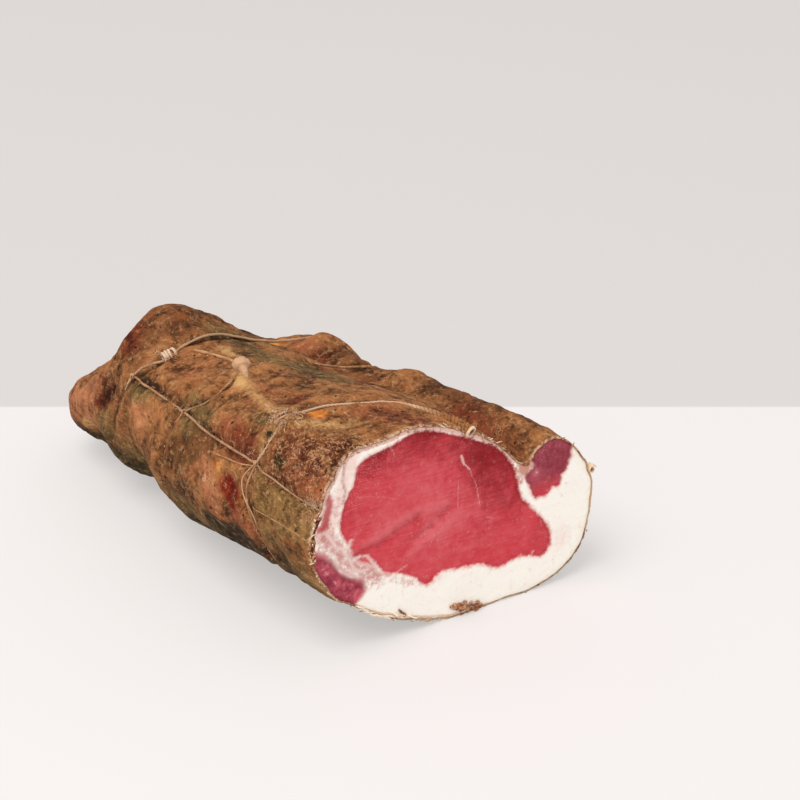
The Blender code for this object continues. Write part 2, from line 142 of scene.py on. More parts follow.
def smooth_curve(points: Sequence[Sequence[float]], per_span: int, closed: bool) -> Array:
    """Points read from a Catmull-Rom curve.

    Args:
        points: what the curve goes through.
        per_span: points read between two of them.
        closed: whether the curve runs back to its start.

    Returns:
        The points as rows.
    """
    given = np.asarray(points, float)
    if closed:
        before, here, after, beyond = (np.roll(given, shift, 0) for shift in (1, 0, -1, -2))
    else:
        ends = np.vstack([2 * given[0] - given[1], given, 2 * given[-1] - given[-2]])
        before, here, after, beyond = ends[:-3], ends[1:-2], ends[2:-1], ends[3:]
    t = (np.arange(per_span) / per_span)[None, :, None]
    before, here, after, beyond = (p[:, None, :] for p in (before, here, after, beyond))
    curve = 0.5 * (2 * here + (after - before) * t + (2 * before - 5 * here + 4 * after - beyond) * t**2
                   + (3 * here - before - 3 * after + beyond) * t**3)
    curve = curve.reshape(-1, given.shape[1])
    return curve if closed else np.vstack([curve, given[-1]])


def lengths(path: Array) -> Array:
    """How far along a path each of its points is."""
    return np.concatenate([[0], np.cumsum(np.linalg.norm(np.diff(path, axis=0), axis=1))])


def respaced(curve: Array, step: float, closed: bool) -> Array:
    """The same curve with other points.

    Args:
        curve: its points.
        step: about how far apart they shall be.
        closed: whether it runs back to its start.

    Returns:
        The points as rows.
    """
    path = np.vstack([curve, curve[:1]]) if closed else curve
    run = lengths(path)
    count = max(3, int(round(run[-1] / step)) + (0 if closed else 1))
    stops = np.linspace(0, run[-1], count, endpoint=not closed)
    return np.stack([np.interp(stops, run, path[:, k]) for k in range(path.shape[1])], axis=1)


def smoothstep(low: float, high: float, values: Array) -> Array:
    """Ease from 0 at low to 1 at high."""
    t = np.clip((values - low) / (high - low), 0, 1)
    return t * t * (3 - 2 * t)


def to_segments(places: Array, line: Sequence[Sequence[float]]) -> Array:
    """Distance to an open line of straight segments, or to a point.

    Args:
        places: where it is wanted.
        line: the line's points.

    Returns:
        A distance for each place.
    """
    line = np.asarray(line, float)
    if len(line) == 1:
        return np.linalg.norm(places - line[0], axis=1)
    nearest = np.full(len(places), np.inf)
    for start, end in zip(line[:-1], line[1:]):
        way = end - start
        share = np.clip((places - start) @ way / (way @ way), 0, 1)
        nearest = np.minimum(nearest, np.linalg.norm(places - start - share[:, None] * way, axis=1))
    return nearest


def unit(vectors: Array) -> Array:
    """The same directions, all 1 long."""
    return vectors / np.maximum(np.linalg.norm(vectors, axis=-1, keepdims=True), 1e-9)


@dataclass(frozen=True)
class Patch:
    """A soft-edged patch round a point or along a line.

    Attributes:
        line: its points.
        reach: distance over which it fades, mm.
        amount: its strength, or its height in mm.
    """

    line: tuple[Sequence[float], ...]
    reach: float
    amount: float

    def weight(self, places: Array) -> Array:
        """Its strength at each place."""
        return self.amount * np.exp(-(to_segments(places, self.line) / self.reach)**2)


def patches(*rows: Sequence) -> tuple[Patch, ...]:
    """Patches from rows of one or more points, then reach and amount."""
    return tuple(Patch(row[:-2], *row[-2:]) for row in rows)


def strongest(given: Iterable[Patch], places: Array) -> Array:
    """The strongest patch at each place, 0 away from all."""
    return np.max([patch.weight(places) for patch in given], axis=0)


def summed(given: Iterable[Patch], places: Array) -> Array:
    """All patches together at each place."""
    return np.sum([patch.weight(places) for patch in given], axis=0)


def lumps(places: Array, size: float, octaves: int = 3, seed: float = 0.0) -> Array:
    """Smooth noise from about -1 to 1, with lumps of a size in mm; the seed picks its pattern."""
    shift = Vector((seed * 7.3, seed * 3.1, -seed * 5.7))
    return np.array([noise.fractal(Vector(p) / size + shift, 1.0, 2.0, octaves) for p in places])


def creases(places: Array, size: float, seed: float) -> Array:
    """Sharp-bottomed wrinkles, 0 at a crease and up to 1 between them."""
    return np.minimum(1, np.abs(lumps(places, size, 2, seed)) * 2.5)


def flat(points: Iterable[Place]) -> Array:
    """Places on the cut as points of the loin."""
    return np.array([(0.0, y, z) for y, z in points])


class PointTree:
    """Points among which the nearest is looked up."""

    def __init__(self, points: Array) -> None:
        """Take in the points."""
        self.tree = KDTree(len(points))
        for i, point in enumerate(points):
            self.tree.insert(point, i)
        self.tree.balance()

    def nearest(self, places: Array) -> tuple[Array, Array]:
        """The number of the nearest point to each place, and the distance to it."""
        found = [self.tree.find(place) for place in places]
        return np.array([i for _, i, _ in found]), np.array([away for _, _, away in found])


def inward(loop: Array, reach: int) -> Array:
    """The way into a closed loop at each of its points.

    Args:
        loop: its points in order, y and z.
        reach: how many points to either side its run is read over.

    Returns:
        Directions, 1 long.
    """
    ahead = np.roll(loop, -reach, 0) - np.roll(loop, reach, 0)
    y, z = loop.T
    turn = np.sign(y @ np.roll(z, -1) - np.roll(y, -1) @ z)
    return unit(np.stack([-ahead[:, 1], ahead[:, 0]], axis=1)) * turn


@dataclass
class Outline:
    """A closed line on the cut.

    Attributes:
        loop: its points, y and z, mm.
        spacing: distance between the points that distances are measured from, mm.
        fine: those points.
        tree: the same points, to be searched.
    """

    loop: Array
    spacing: float = 0.1
    fine: Array = field(init=False)
    tree: PointTree = field(init=False)

    def __post_init__(self) -> None:
        """Lay out the fine points."""
        self.fine = respaced(self.loop, self.spacing, True)
        self.tree = PointTree(flat(self.fine))

    def inside(self, places: Array) -> Array:
        """Whether places are inside.

        Args:
            places: y and z of each place.

        Returns:
            True or False for each.
        """
        y, z = places.T
        odd = np.zeros(len(places), bool)
        for (y0, z0), (y1, z1) in zip(self.loop, np.roll(self.loop, -1, 0)):
            crosses = (z0 > z) != (z1 > z)
            odd ^= crosses & (y < (y1 - y0) * (z - z0) / (z1 - z0 + 1e-12) + y0)
        return odd

    def nearest(self, places: Array) -> tuple[Array, Array]:
        """The nearest point of the outline to each place, and its distance, positive inside."""
        found, away = self.tree.nearest(flat(places))
        return self.fine[found], np.where(self.inside(places), 1, -1) * away

    def shrunk(self, width: float) -> "Outline":
        """The same outline moved inwards."""
        return Outline(respaced(self.fine + inward(self.fine, 3) * width, 0.4, True))


# Meshes


def coordinates(bm: BMesh) -> Array:
    """The vertices' places as rows."""
    return np.array([v.co for v in bm.verts])


def move_to(bm: BMesh, places: Array) -> None:
    """Move each vertex to its place."""
    for vertex, place in zip(bm.verts, places):
        vertex.co = place


def linked(first: BMVert) -> set[BMVert]:
    """The vertices that are connected to one.

    Args:
        first: that vertex.

    Returns:
        All of them, with the first.
    """
    found, waiting = {first}, [first]
    while waiting:
        for edge in waiting.pop().link_edges:
            new = set(edge.verts) - found
            found |= new
            waiting += new
    return found


def mesh_of(bm: BMesh, name: str) -> Mesh:
    """A bmesh as a mesh; the bmesh is freed."""
    mesh = bpy.data.meshes.new(name)
    bm.to_mesh(mesh)
    bm.free()
    return mesh


def bmesh_of(mesh: Mesh) -> BMesh:
    """A mesh as a bmesh; the mesh is removed."""
    bm = bmesh.new()
    bm.from_mesh(mesh)
    bpy.data.meshes.remove(mesh)
    return bm


def turned_outwards(bm: BMesh) -> None:
    """Turn the faces of a closed mesh outwards."""
    bmesh.ops.recalc_face_normals(bm, faces=bm.faces)
    if bm.calc_volume(signed=True) < 0:
        bmesh.ops.reverse_faces(bm, faces=bm.faces)


def extruded(bm: BMesh, edges: Sequence[BMEdge]) -> tuple[list[BMVert], list[BMEdge]]:
    """Extrude open edges, and give the new vertices and the new edges along them."""
    made = bmesh.ops.extrude_edge_only(bm, edges=edges)["geom"]
    return [g for g in made if isinstance(g, BMVert)], [g for g in made if isinstance(g, BMEdge)]


def new_object(name: str, data: bpy.types.ID) -> Object:
    """An object in the scene."""
    made = bpy.data.objects.new(name, data)
    bpy.context.scene.collection.objects.link(made)
    return made


def evaluated(holder: Object) -> Mesh:
    """The mesh that an object's modifiers or its curve make."""
    bpy.context.view_layer.update()
    return bpy.data.meshes.new_from_object(holder.evaluated_get(bpy.context.evaluated_depsgraph_get()))


def new_curve(dimensions: str) -> Curve:
    """An empty curve, 2D or 3D."""
    curve = bpy.data.curves.new("curve", "CURVE")
    curve.dimensions = dimensions
    return curve


def add_line(curve: Curve, points: Array, radii: Array, closed: bool) -> bpy.types.Spline:
    """Add a line of straight spans to a curve.

    Args:
        curve: the curve.
        points: the line's points.
        radii: the radius at each.
        closed: whether it is a ring.

    Returns:
        The line.
    """
    line = curve.splines.new("POLY")
    line.points.add(len(points) - 1)
    line.points.foreach_set("co", np.column_stack([points, np.ones(len(points))]).ravel())
    line.points.foreach_set("radius", radii)
    line.use_cyclic_u = closed
    return line


def drawn(curve: Curve) -> BMesh:
    """What a curve draws, merged; the curve is removed."""
    holder = new_object("drawn", curve)
    bm = bmesh_of(evaluated(holder))
    bpy.data.objects.remove(holder)
    bpy.data.curves.remove(curve)
    bmesh.ops.remove_doubles(bm, verts=bm.verts, dist=WELD)
    return bmesh_of(mesh_of(bm, "merged"))      # read again, so that vertices made later come last


def add_to(bm: BMesh, other: BMesh) -> None:
    """Add another bmesh, which is freed, to one."""
    mesh = mesh_of(other, "added")
    bm.from_mesh(mesh)
    bpy.data.meshes.remove(mesh)


def as_piece(name: str, bm: BMesh, material: Material,
             masks: dict[str, Array] | None = None, replaced: Sequence[str] = ()) -> Object:
    """Finish a piece: its place in its mesh, its material, its masks and its body.

    Args:
        name: the piece's name.
        bm: its shape in the loin's space, which is freed.
        material: its material.
        masks: values at its vertices that the material reads.
        replaced: the solids that it stands for.

    Returns:
        The object.
    """
    bmesh.ops.transform(bm, matrix=SPACE.to_frame(), verts=bm.verts)
    for face in bm.faces:
        face.smooth = True
    mesh = mesh_of(bm, name)
    for mask, values in (masks or {}).items():
        mesh.attributes.new(mask, "FLOAT", "POINT").data.foreach_set("value", values.astype(np.float32))
    mesh.materials.append(material)
    piece = new_object(name, mesh)
    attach(piece, BODY)
    if replaced:
        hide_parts(*replaced)
    log.info("%s: %d faces", name, len(mesh.polygons))
    return piece


class Surface:
    """A surface that strands and fibres are laid on."""

    def __init__(self, bm: BMesh) -> None:
        """Read the surface of a bmesh."""
        self.tree = BVHTree.FromBMesh(bm)

    def nearest(self, point: Sequence[float]) -> tuple[Array, Array]:
        """Nearest place on the surface, and the way out of it there."""
        place, normal, _, _ = self.tree.find_nearest(Vector(point))
        return np.array(place), np.array(normal)

    def feet(self, points: Iterable[Sequence[float]]) -> tuple[Array, Array]:
        """Nearest places of several points, and the ways out there."""
        places, ways = zip(*(self.nearest(p) for p in points))
        return np.array(places), np.array(ways)


# Shaders


def tone(red: int, green: int, blue: int) -> Colour:
    """A colour from 0 to 255 as the shader wants it."""
    parts = [c / 255 for c in (red, green, blue)]
    return (*[c / 12.92 if c <= 0.04045 else ((c + 0.055) / 1.055)**2.4 for c in parts], 1.0)


class Value:
    """A node's output that takes part in arithmetic."""

    def __init__(self, shader: "Shader", socket: bpy.types.NodeSocket) -> None:
        """Wrap a socket of a shader's tree."""
        self.shader, self.socket = shader, socket

    def _math(self, operation: str, first: "Value | float", second: "Value | float" = 0.0) -> "Value":
        """One Math node."""
        return self.shader.node("ShaderNodeMath", {"operation": operation}, {0: first, 1: second})

    def __add__(self, other: "Value | float") -> "Value":
        """Sum."""
        return self._math("ADD", self, other)

    def __radd__(self, other: float) -> "Value":
        """Sum, the other way round."""
        return self._math("ADD", other, self)

    def __sub__(self, other: "Value | float") -> "Value":
        """Difference."""
        return self._math("SUBTRACT", self, other)

    def __rsub__(self, other: float) -> "Value":
        """Difference, the other way round."""
        return self._math("SUBTRACT", other, self)

    def __mul__(self, other: "Value | float") -> "Value":
        """Product."""
        return self._math("MULTIPLY", self, other)

    def __rmul__(self, other: float) -> "Value":
        """Product, the other way round."""
        return self._math("MULTIPLY", other, self)

    def most(self, other: "Value | float") -> "Value":
        """The larger of two values."""
        return self._math("MAXIMUM", self, other)

    def least(self, other: "Value | float") -> "Value":
        """The smaller of two values."""
        return self._math("MINIMUM", self, other)

    def eased(self, low: "Value | float", high: "Value | float") -> "Value":
        """0 at low, 1 at high and smooth between; low may be the greater."""
        return self.shader.node("ShaderNodeMapRange", {"interpolation_type": "SMOOTHSTEP"},
                                {"Value": self, "From Min": low, "From Max": high})

    def stretched(self, x: float, y: float, z: float) -> "Value":
        """A vector with each of its parts multiplied."""
        return self.shader.node("ShaderNodeVectorMath", {"operation": "MULTIPLY"}, {0: self, 1: (x, y, z)})

    def shifted(self, other: "Value") -> "Value":
        """The sum of two vectors."""
        return self.shader.node("ShaderNodeVectorMath", {"operation": "ADD"}, {0: self, 1: other})


class Shader:
    """A material's node tree, with a Principled shader that its finish feeds."""

    def __init__(self, name: str, **constants: object) -> None:
        """Start a material.

        Args:
            name: the material's name.
            constants: values for the shader's own sockets, with _ for a space.
        """
        self.material = bpy.data.materials.new(name)
        self.material.use_nodes = True
        self.tree = self.material.node_tree
        self.surface = self.tree.nodes["Principled BSDF"]
        for socket, value in constants.items():
            self.surface.inputs[socket.replace("_", " ")].default_value = value

    def node(self, kind: str, settings: dict[str, object] | None = None,
             inputs: dict[str | int, object] | None = None, output: str | int = 0) -> Value:
        """One node.

        Args:
            kind: the node's type.
            settings: its options, set first; stops are a ramp's places and colours.
            inputs: values or links of its sockets.
            output: which output is wanted.

        Returns:
            That output.
        """
        made = self.tree.nodes.new(kind)
        for name, value in (settings or {}).items():
            if name == "stops":
                elements = made.color_ramp.elements
                for i, (place, colour) in enumerate(value):
                    element = elements[i] if i < len(elements) else elements.new(place)
                    element.position, element.color = place, colour
            else:
                setattr(made, name, value)
        for name, value in (inputs or {}).items():
            if isinstance(value, Value):
                self.tree.links.new(value.socket, made.inputs[name])
            else:
                made.inputs[name].default_value = value
        return Value(self, made.outputs[output])

    def feed(self, **values: Value) -> Material:
        """Link values to the Principled shader, with _ for a space in a socket's name."""
        for socket, value in values.items():
            self.tree.links.new(value.socket, self.surface.inputs[socket.replace("_", " ")])
        return self.material

    def where(self) -> Value:
        """Object coordinates in millimetres."""
        coordinates_node = self.node("ShaderNodeTexCoord", output="Object")
        return coordinates_node.stretched(1 / MM, 1 / MM, 1 / MM)

    def mask(self, name: str) -> Value:
        """A value from the mesh."""
        return self.node("ShaderNodeAttribute", {"attribute_name": name}, output="Fac")

    def swing(self, where: Value, size: float, detail: float = 3.0, roughness: float = 0.55) -> Value:
        """Noise about 0, mostly between -1 and 1, with lumps of a size in mm."""
        noise_inputs = {"Vector": where, "Scale": 1 / size, "Detail": detail, "Roughness": roughness}
        return (self.node("ShaderNodeTexNoise", {}, noise_inputs) - 0.5) * 6.0

    def dots(self, where: Value, size: float, radius: float, chance: float) -> Value:
        """Round dots, 1 at the middle and 0 between them.

        Args:
            where: coordinates.
            size: width of a cell, mm.
            radius: a dot's radius, in cells.
            chance: share of the cells that have one.

        Returns:
            The dots.
        """
        cells = {"Vector": where, "Scale": 1 / size}
        near = self.node("ShaderNodeTexVoronoi", {"feature": "F1"}, cells)
        drawn = self.node("ShaderNodeTexVoronoi", {"feature": "F1"}, cells, "Color")
        red = self.node("ShaderNodeSeparateColor", {}, {0: drawn})
        return near.eased(radius, radius * 0.4) * red.eased(1 - chance, 1.02 - chance)

    def bent(self, where: Value, size: float, amount: float) -> Value:
        """Coordinates pushed about by up to an amount, mm, in lumps of a size."""
        push = self.node("ShaderNodeTexNoise", {}, {"Vector": where, "Scale": 1 / size}, output="Color")
        half = {0: push, 1: (0.5, 0.5, 0.5)}
        centred = self.node("ShaderNodeVectorMath", {"operation": "SUBTRACT"}, half)
        return where.shifted(centred.stretched(2 * amount, 2 * amount, 2 * amount))

    def web(self, where: Value, size: float) -> Value:
        """Distance to the nearest line of a web, in cells."""
        return self.node("ShaderNodeTexVoronoi", {"feature": "DISTANCE_TO_EDGE"},
                         {"Vector": where, "Scale": 1 / size})

    def mix(self, first: "Value | Colour", second: "Value | Colour", factor: Value) -> Value:
        """A colour between two."""
        return self.node("ShaderNodeMix", {"data_type": "RGBA"}, {0: factor, 6: first, 7: second}, 2)

    def layered(self, colour: Value, *layers: tuple["Value | Colour", Value]) -> Value:
        """A colour with others laid over it in turn, each with its share."""
        for over, share in layers:
            colour = self.mix(colour, over, share)
        return colour

    def bump(self, height: Value, distance: float) -> Value:
        """A bump of a height in mm."""
        inputs = {"Height": height, "Distance": distance * MM, "Strength": 1.0}
        return self.node("ShaderNodeBump", {}, inputs)


@dataclass(frozen=True)
class CutMeat:
    """The cut through fat and lean, which blend into each other where the lean's masks say.

    It reads lean (mm inside the nearest lean, negative outside), soft (where its edge is soft), edge (mm
    from the casing), and how strongly wine, plum, pale, dark, salt, marble, strand, strip, film, vein,
    skin, gap, crust, blush and stain show.
    """

    cream: Colour = tone(253, 247, 238)
    ivory: Colour = tone(249, 234, 212)
    blush: Colour = tone(240, 200, 190)
    marbled: Colour = tone(196, 118, 112)
    white: Colour = tone(246, 224, 216)
    rose: Colour = tone(205, 55, 67)
    pale_rose: Colour = tone(218, 104, 110)
    deep_rose: Colour = tone(136, 14, 24)
    wine: Colour = tone(126, 34, 50)
    purple: Colour = tone(182, 88, 102)
    plum: Colour = tone(136, 40, 60)
    pink_plum: Colour = tone(204, 92, 104)
    sinew: Colour = tone(242, 200, 192)
    strip: Colour = tone(178, 62, 66)
    film: Colour = tone(146, 92, 86)
    membrane: Colour = tone(222, 184, 172)
    speckle: Colour = tone(146, 92, 70)
    rind: Colour = tone(202, 150, 104)
    rust: Colour = tone(84, 26, 14)
    stain: Colour = tone(184, 98, 70)

    def material(self) -> Material:
        """Build the material."""
        s = Shader("cut_meat", Subsurface_Weight=0.1, Subsurface_Scale=0.0012,
                   Subsurface_Radius=(1.0, 0.3, 0.2), IOR=1.42, Specular_IOR_Level=0.2)
        where = s.where()
        broad, small, fine = s.swing(where, 7.0), s.swing(where, 2.0, 4.0), s.swing(where, 0.7, 4.0, 0.6)
        depth = s.mask("lean") + small * 0.38 + fine * 0.14
        streaks = s.swing(where.stretched(1.0, 0.12, 1.7), 0.8, 3.0, 0.6)
        lean = self._lean(s, where, broad, small, streaks)
        fat = self._fat(s, depth, broad, small, fine)
        soft = s.mask("soft")
        lean_share = depth.eased(-0.65 - 1.6 * soft, 0.6 + 1.4 * soft)
        vein = (s.mask("vein") + fine * 0.22 - 0.1).eased(0.2, 0.9)
        strand = (s.mask("strand") + small * 0.3 + fine * 0.15).eased(0.15, 1.3)
        gap = s.mix(self.rust, self.rind, (fine * 0.7 + small * 0.6).eased(-0.4, 0.8))
        colour = s.layered(
            fat,
            (lean, lean_share),
            (self.sinew, vein * depth.eased(-0.6, 0.3) * 0.7),
            (self.white, strand * 0.75),
            (gap, (s.mask("gap") + small * 0.12).eased(0.3, 0.7)))
        is_lean = depth.eased(-0.3, 0.4)
        roughness = 0.5 - 0.06 * is_lean + 0.025 * fine
        height = small * 0.09 + fine * 0.045 + streaks * is_lean * 0.03 + vein * 0.2 + strand * 0.2
        return s.feed(Base_Color=colour, Roughness=roughness, Normal=s.bump(height, 0.4))

    def _lean(self, s: Shader, where: Value, broad: Value, small: Value, streaks: Value) -> Value:
        """The lean's colour.

        Args:
            s: the material's shader.
            where: coordinates.
            broad: wide noise.
            small: finer noise.
            streaks: noise along the muscle's grain.

        Returns:
            The colour.
        """
        hairs = s.swing(where.stretched(1.0, 0.06, 3.0), 0.6, 2.0, 0.7)
        clouds = s.swing(s.bent(where, 5.0, 2.0), 3.4, 4.0, 0.6)
        pale = s.mask("pale")
        paler = pale + broad * 0.14 + clouds * 0.2 + streaks * 0.13 + hairs * 0.08
        darker = s.mask("dark") - clouds * 0.12 - streaks * 0.08 + small * 0.06
        wine = s.mix(self.wine, self.purple, (small * 0.25 + streaks * 0.1 + pale).eased(-0.5, 1.0))
        plum = s.mix(self.plum, self.pink_plum, (small * 0.35 + clouds * 0.4 + pale).eased(-0.7, 0.8))
        return s.layered(
            s.mix(self.rose, self.pale_rose, paler.eased(-0.4, 1.1)),
            (self.deep_rose, darker.eased(0.0, 1.15)),
            (wine, s.mask("wine")),
            (plum, s.mask("plum")),
            (self.white, s.dots(where, 0.55, 0.36, 0.4) * s.mask("salt") * 0.32))

    def _fat(self, s: Shader, depth: Value, broad: Value, small: Value, fine: Value) -> Value:
        """The fat's colour.

        Args:
            s: the material's shader.
            depth: how far inside the lean it is, mm.
            broad: wide noise.
            small: finer noise.
            fine: the finest noise.

        Returns:
            The colour.
        """
        edge, skin = s.mask("edge"), s.mask("skin")
        crust = edge - s.mask("crust") * 1.1 + small * 0.25
        return s.layered(
            s.mix(self.cream, self.ivory,
                  (0.5 + broad * 0.2 + small * 0.12 - edge * 0.09).eased(0.1, 1.0)),
            (self.blush, (s.mask("blush") + small * 0.12).eased(0.1, 1.0) * 0.8),
            (self.marbled, (s.mask("marble") + small * 0.3 + fine * 0.16).eased(0.2, 1.2) * 0.85),
            (self.blush, depth.eased(-1.5, -0.2) * 0.85),
            (self.strip, (s.mask("strip") + small * 0.16 + fine * 0.08).eased(0.1, 1.1) * 0.9),
            (self.film, (s.mask("film") + fine * 0.25).eased(0.2, 1.1) * 0.7),
            (self.membrane, (skin + fine * 0.2).eased(0.2, 0.8)),
            (self.speckle, (skin * (fine + small * 0.7)).eased(0.15, 1.0) * 0.8),
            (self.stain, (s.mask("stain") * (1 + small * 0.5) + fine * 0.15).eased(0.2, 1.1) * 0.8),
            (self.rind, crust.eased(0.75, 0.1) * (0.55 + small * 0.2)))


@dataclass(frozen=True)
class DryCasing:
    """The dried casing: mottled leathery skin, crumbly by the cut, with pits and loose tissue.

    Each zone's hue runs from a dark to a light colour as the mottling does. It reads a mask for each zone,
    and crumbly, pale, soot, rim and rise (the relief's height, mm). The rises are painted lighter as
    highlight and the hollows umber as shade; the darkest olive zone also holds painted shade low on the
    flank.
    """

    base: tuple[Colour, Colour] = (tone(64, 35, 18), tone(172, 113, 68))
    zones: tuple[tuple[str, Colour, Colour], ...] = (
        ("olive", tone(54, 42, 26), tone(134, 102, 60)),
        ("rust", tone(78, 36, 22), tone(168, 98, 64)),
        ("bark", tone(44, 25, 14), tone(136, 84, 50)),
        ("ochre", tone(80, 57, 31), tone(154, 114, 67)),
        ("flesh", tone(106, 54, 32), tone(190, 124, 84)),
        ("ember", tone(176, 86, 26), tone(232, 148, 66)),
        ("buff", tone(144, 98, 56), tone(208, 160, 104)),
        ("wine", tone(50, 18, 10), tone(132, 62, 38)),
        ("red", tone(60, 10, 6), tone(140, 38, 24)),
        # The darkest olive: a hue of the skin, and painted shade low on the flank.
        ("moss_and_shade", tone(20, 16, 9), tone(74, 58, 30)),
    )
    umber: Colour = tone(48, 25, 13)
    brick: Colour = tone(154, 84, 48)
    soot: Colour = tone(26, 17, 11)
    straw: Colour = tone(222, 178, 126)
    cream: Colour = tone(236, 208, 172)

    def material(self) -> Material:
        """Build the material."""
        s = Shader("dry_casing", IOR=1.45, Specular_IOR_Level=0.0, Coat_Weight=0.13, Coat_Roughness=0.4)
        where = s.where()
        bent = s.bent(where, 8.0, 1.4)
        broad, middle = s.swing(bent, 13.0), s.swing(bent, 4.6, 4.0, 0.6)
        small, fine = s.swing(where, 1.5, 4.0, 0.65), s.swing(where, 0.5, 3.0, 0.6)
        grain = s.swing(s.bent(where, 9.0, 2.0).stretched(0.25, 1.0, 1.0), 1.0, 3.0, 0.6)
        crumbly, rise = s.mask("crumbly"), s.mask("rise")
        # The mottling is lighter where the relief rises: painted highlight on the rises.
        mottle = (broad * 0.26 + middle * 0.4 + small * (0.2 + 0.28 * crumbly)
                  + grain * (0.1 - 0.06 * crumbly) + fine * (0.14 + 0.06 * crumbly) + rise * 0.3)
        shade = mottle.eased(-0.68, 0.8)
        colour = s.mix(*self.base, shade)
        drift = middle * 0.16 + small * 0.1
        for name, dark, light in self.zones:
            mask = s.mask(name)
            share = (mask + drift * mask.least(0.7)).eased(0.1, 0.85)
            colour = s.mix(colour, s.mix(dark, light, shade), share * 0.95)
        blots = s.swing(s.bent(where, 3.0, 1.2), 4.6, 5.0, 0.6)
        fibres = self._fibres(s, where)
        pits = s.dots(where, 4.2, 0.15, 0.5).most(s.dots(where, 1.9, 0.18, 0.25) * 0.8)
        flecks = fine * 0.7 + small * 0.7 + crumbly * 0.5
        edge = s.mix(self.brick, self.cream, (small + s.mask("buff")).eased(-0.6, 0.6))
        colour = s.layered(
            colour,
            (self.brick, (s.swing(where, 5.5) + small * 0.3).eased(0.5, 1.2) * 0.4),
            (self.umber, (blots + crumbly * 0.3).eased(0.35, 1.6) * (0.42 + 0.44 * crumbly)),
            (self.straw, flecks.eased(0.62, 1.5) * (0.42 + 0.3 * crumbly)),
            # Painted shade: umber in the relief's hollows.
            (self.umber, (rise * -1.0 + small * 0.12).eased(0.25, 1.0) * 0.75),
            (self.straw, fibres * (0.32 + 0.12 * crumbly)),
            (self.cream, (s.mask("pale") * (0.7 + 0.3 * fine)).eased(0.3, 0.8)),
            (edge, s.mask("rim") * 0.75),
            (self.soot, pits * 0.9),
            (self.soot, (s.mask("soot") * (0.9 + 0.35 * small)).eased(0.35, 0.85) * 0.9))
        roughness = 0.46 + 0.05 * small + crumbly * 0.08
        height = (middle * 0.2 - blots * 0.06 + small * (0.1 + 0.16 * crumbly) + grain * 0.04
                  + fine * (0.015 + 0.015 * crumbly) + fibres * (0.03 + 0.08 * crumbly) - pits * 0.35)
        return s.feed(Base_Color=colour, Roughness=roughness, Normal=s.bump(height, 1.3))

    @staticmethod
    def _fibres(s: Shader, where: Value) -> Value:
        """Fine lines of dried tissue that run two ways, in places."""
        one = s.web(s.bent(where, 3.0, 1.4).stretched(0.35, 1.0, 1.6), 2.0).eased(0.09, 0.0)
        other = s.web(s.bent(where, 2.0, 1.0).stretched(1.5, 1.0, 0.4), 1.5).eased(0.09, 0.0)
        return one.most(other) * s.swing(where, 3.0).eased(0.0, 0.9)


@dataclass(frozen=True)
class CottonTwine:
    """Cotton twine that the curing has stained, brown where tissue has dried over it."""

    cotton: Colour = tone(202, 154, 114)
    stained: Colour = tone(164, 116, 76)
    bleached: Colour = tone(236, 204, 174)
    husk: Colour = tone(168, 112, 66)
    dark_husk: Colour = tone(98, 58, 32)
    shade: Colour = tone(96, 60, 36)
    hole: Colour = tone(58, 36, 20)

    def material(self) -> Material:
        """Build the material."""
        s = Shader("cotton_twine", Roughness=0.8, IOR=1.4, Specular_IOR_Level=0.2)
        where = s.where()
        small, fine = s.swing(where, 3.0), s.swing(where, 0.4, 4.0, 0.65)
        lines = s.swing(where.stretched(0.3, 0.6, 1.2), 1.0, 3.0, 0.6)
        husk = s.mix(self.husk, self.dark_husk, (lines + fine * 0.4).eased(0.0, 1.1))
        colour = s.layered(
            s.mix(self.cotton, self.stained, (small + fine * 0.4).eased(-0.8, 0.9)),
            (self.bleached, (s.mask("bleached") + fine * 0.15 + small * 0.1).eased(0.0, 1.0)),
            (husk, (s.mask("husk") + small * 0.1).eased(0.15, 0.7)),
            # Painted shade in the grooves between the plies.
            (self.shade, (s.mask("groove") + fine * 0.15).eased(0.35, 1.1) * 0.6),
            # Painted shade: the inside of the open end is dark.
            (self.hole, s.mask("hole")))
        return s.feed(Base_Color=colour, Normal=s.bump(fine * 0.12 + lines * 0.12, 0.4))


@dataclass(frozen=True)
class DriedFlakes:
    """Crumbs, flakes and hairs of casing, fat and cotton, each of its own hue from brown to white."""

    hues: tuple[tuple[float, Colour], ...] = (
        (0.0, tone(84, 46, 30)), (0.3, tone(158, 102, 72)), (0.55, tone(208, 164, 126)),
        (0.8, tone(240, 216, 186)), (1.0, tone(252, 242, 228)))

    def material(self) -> Material:
        """Build the material."""
        s = Shader("dried_flakes", Roughness=0.6, IOR=1.42, Specular_IOR_Level=0.3)
        small = s.swing(s.where(), 0.9, 4.0)
        hue = s.node("ShaderNodeValToRGB", {"stops": self.hues}, {0: s.mask("hue") + small * 0.06})
        return s.feed(Base_Color=hue, Normal=s.bump(small * 0.15, 0.35))


# The casing


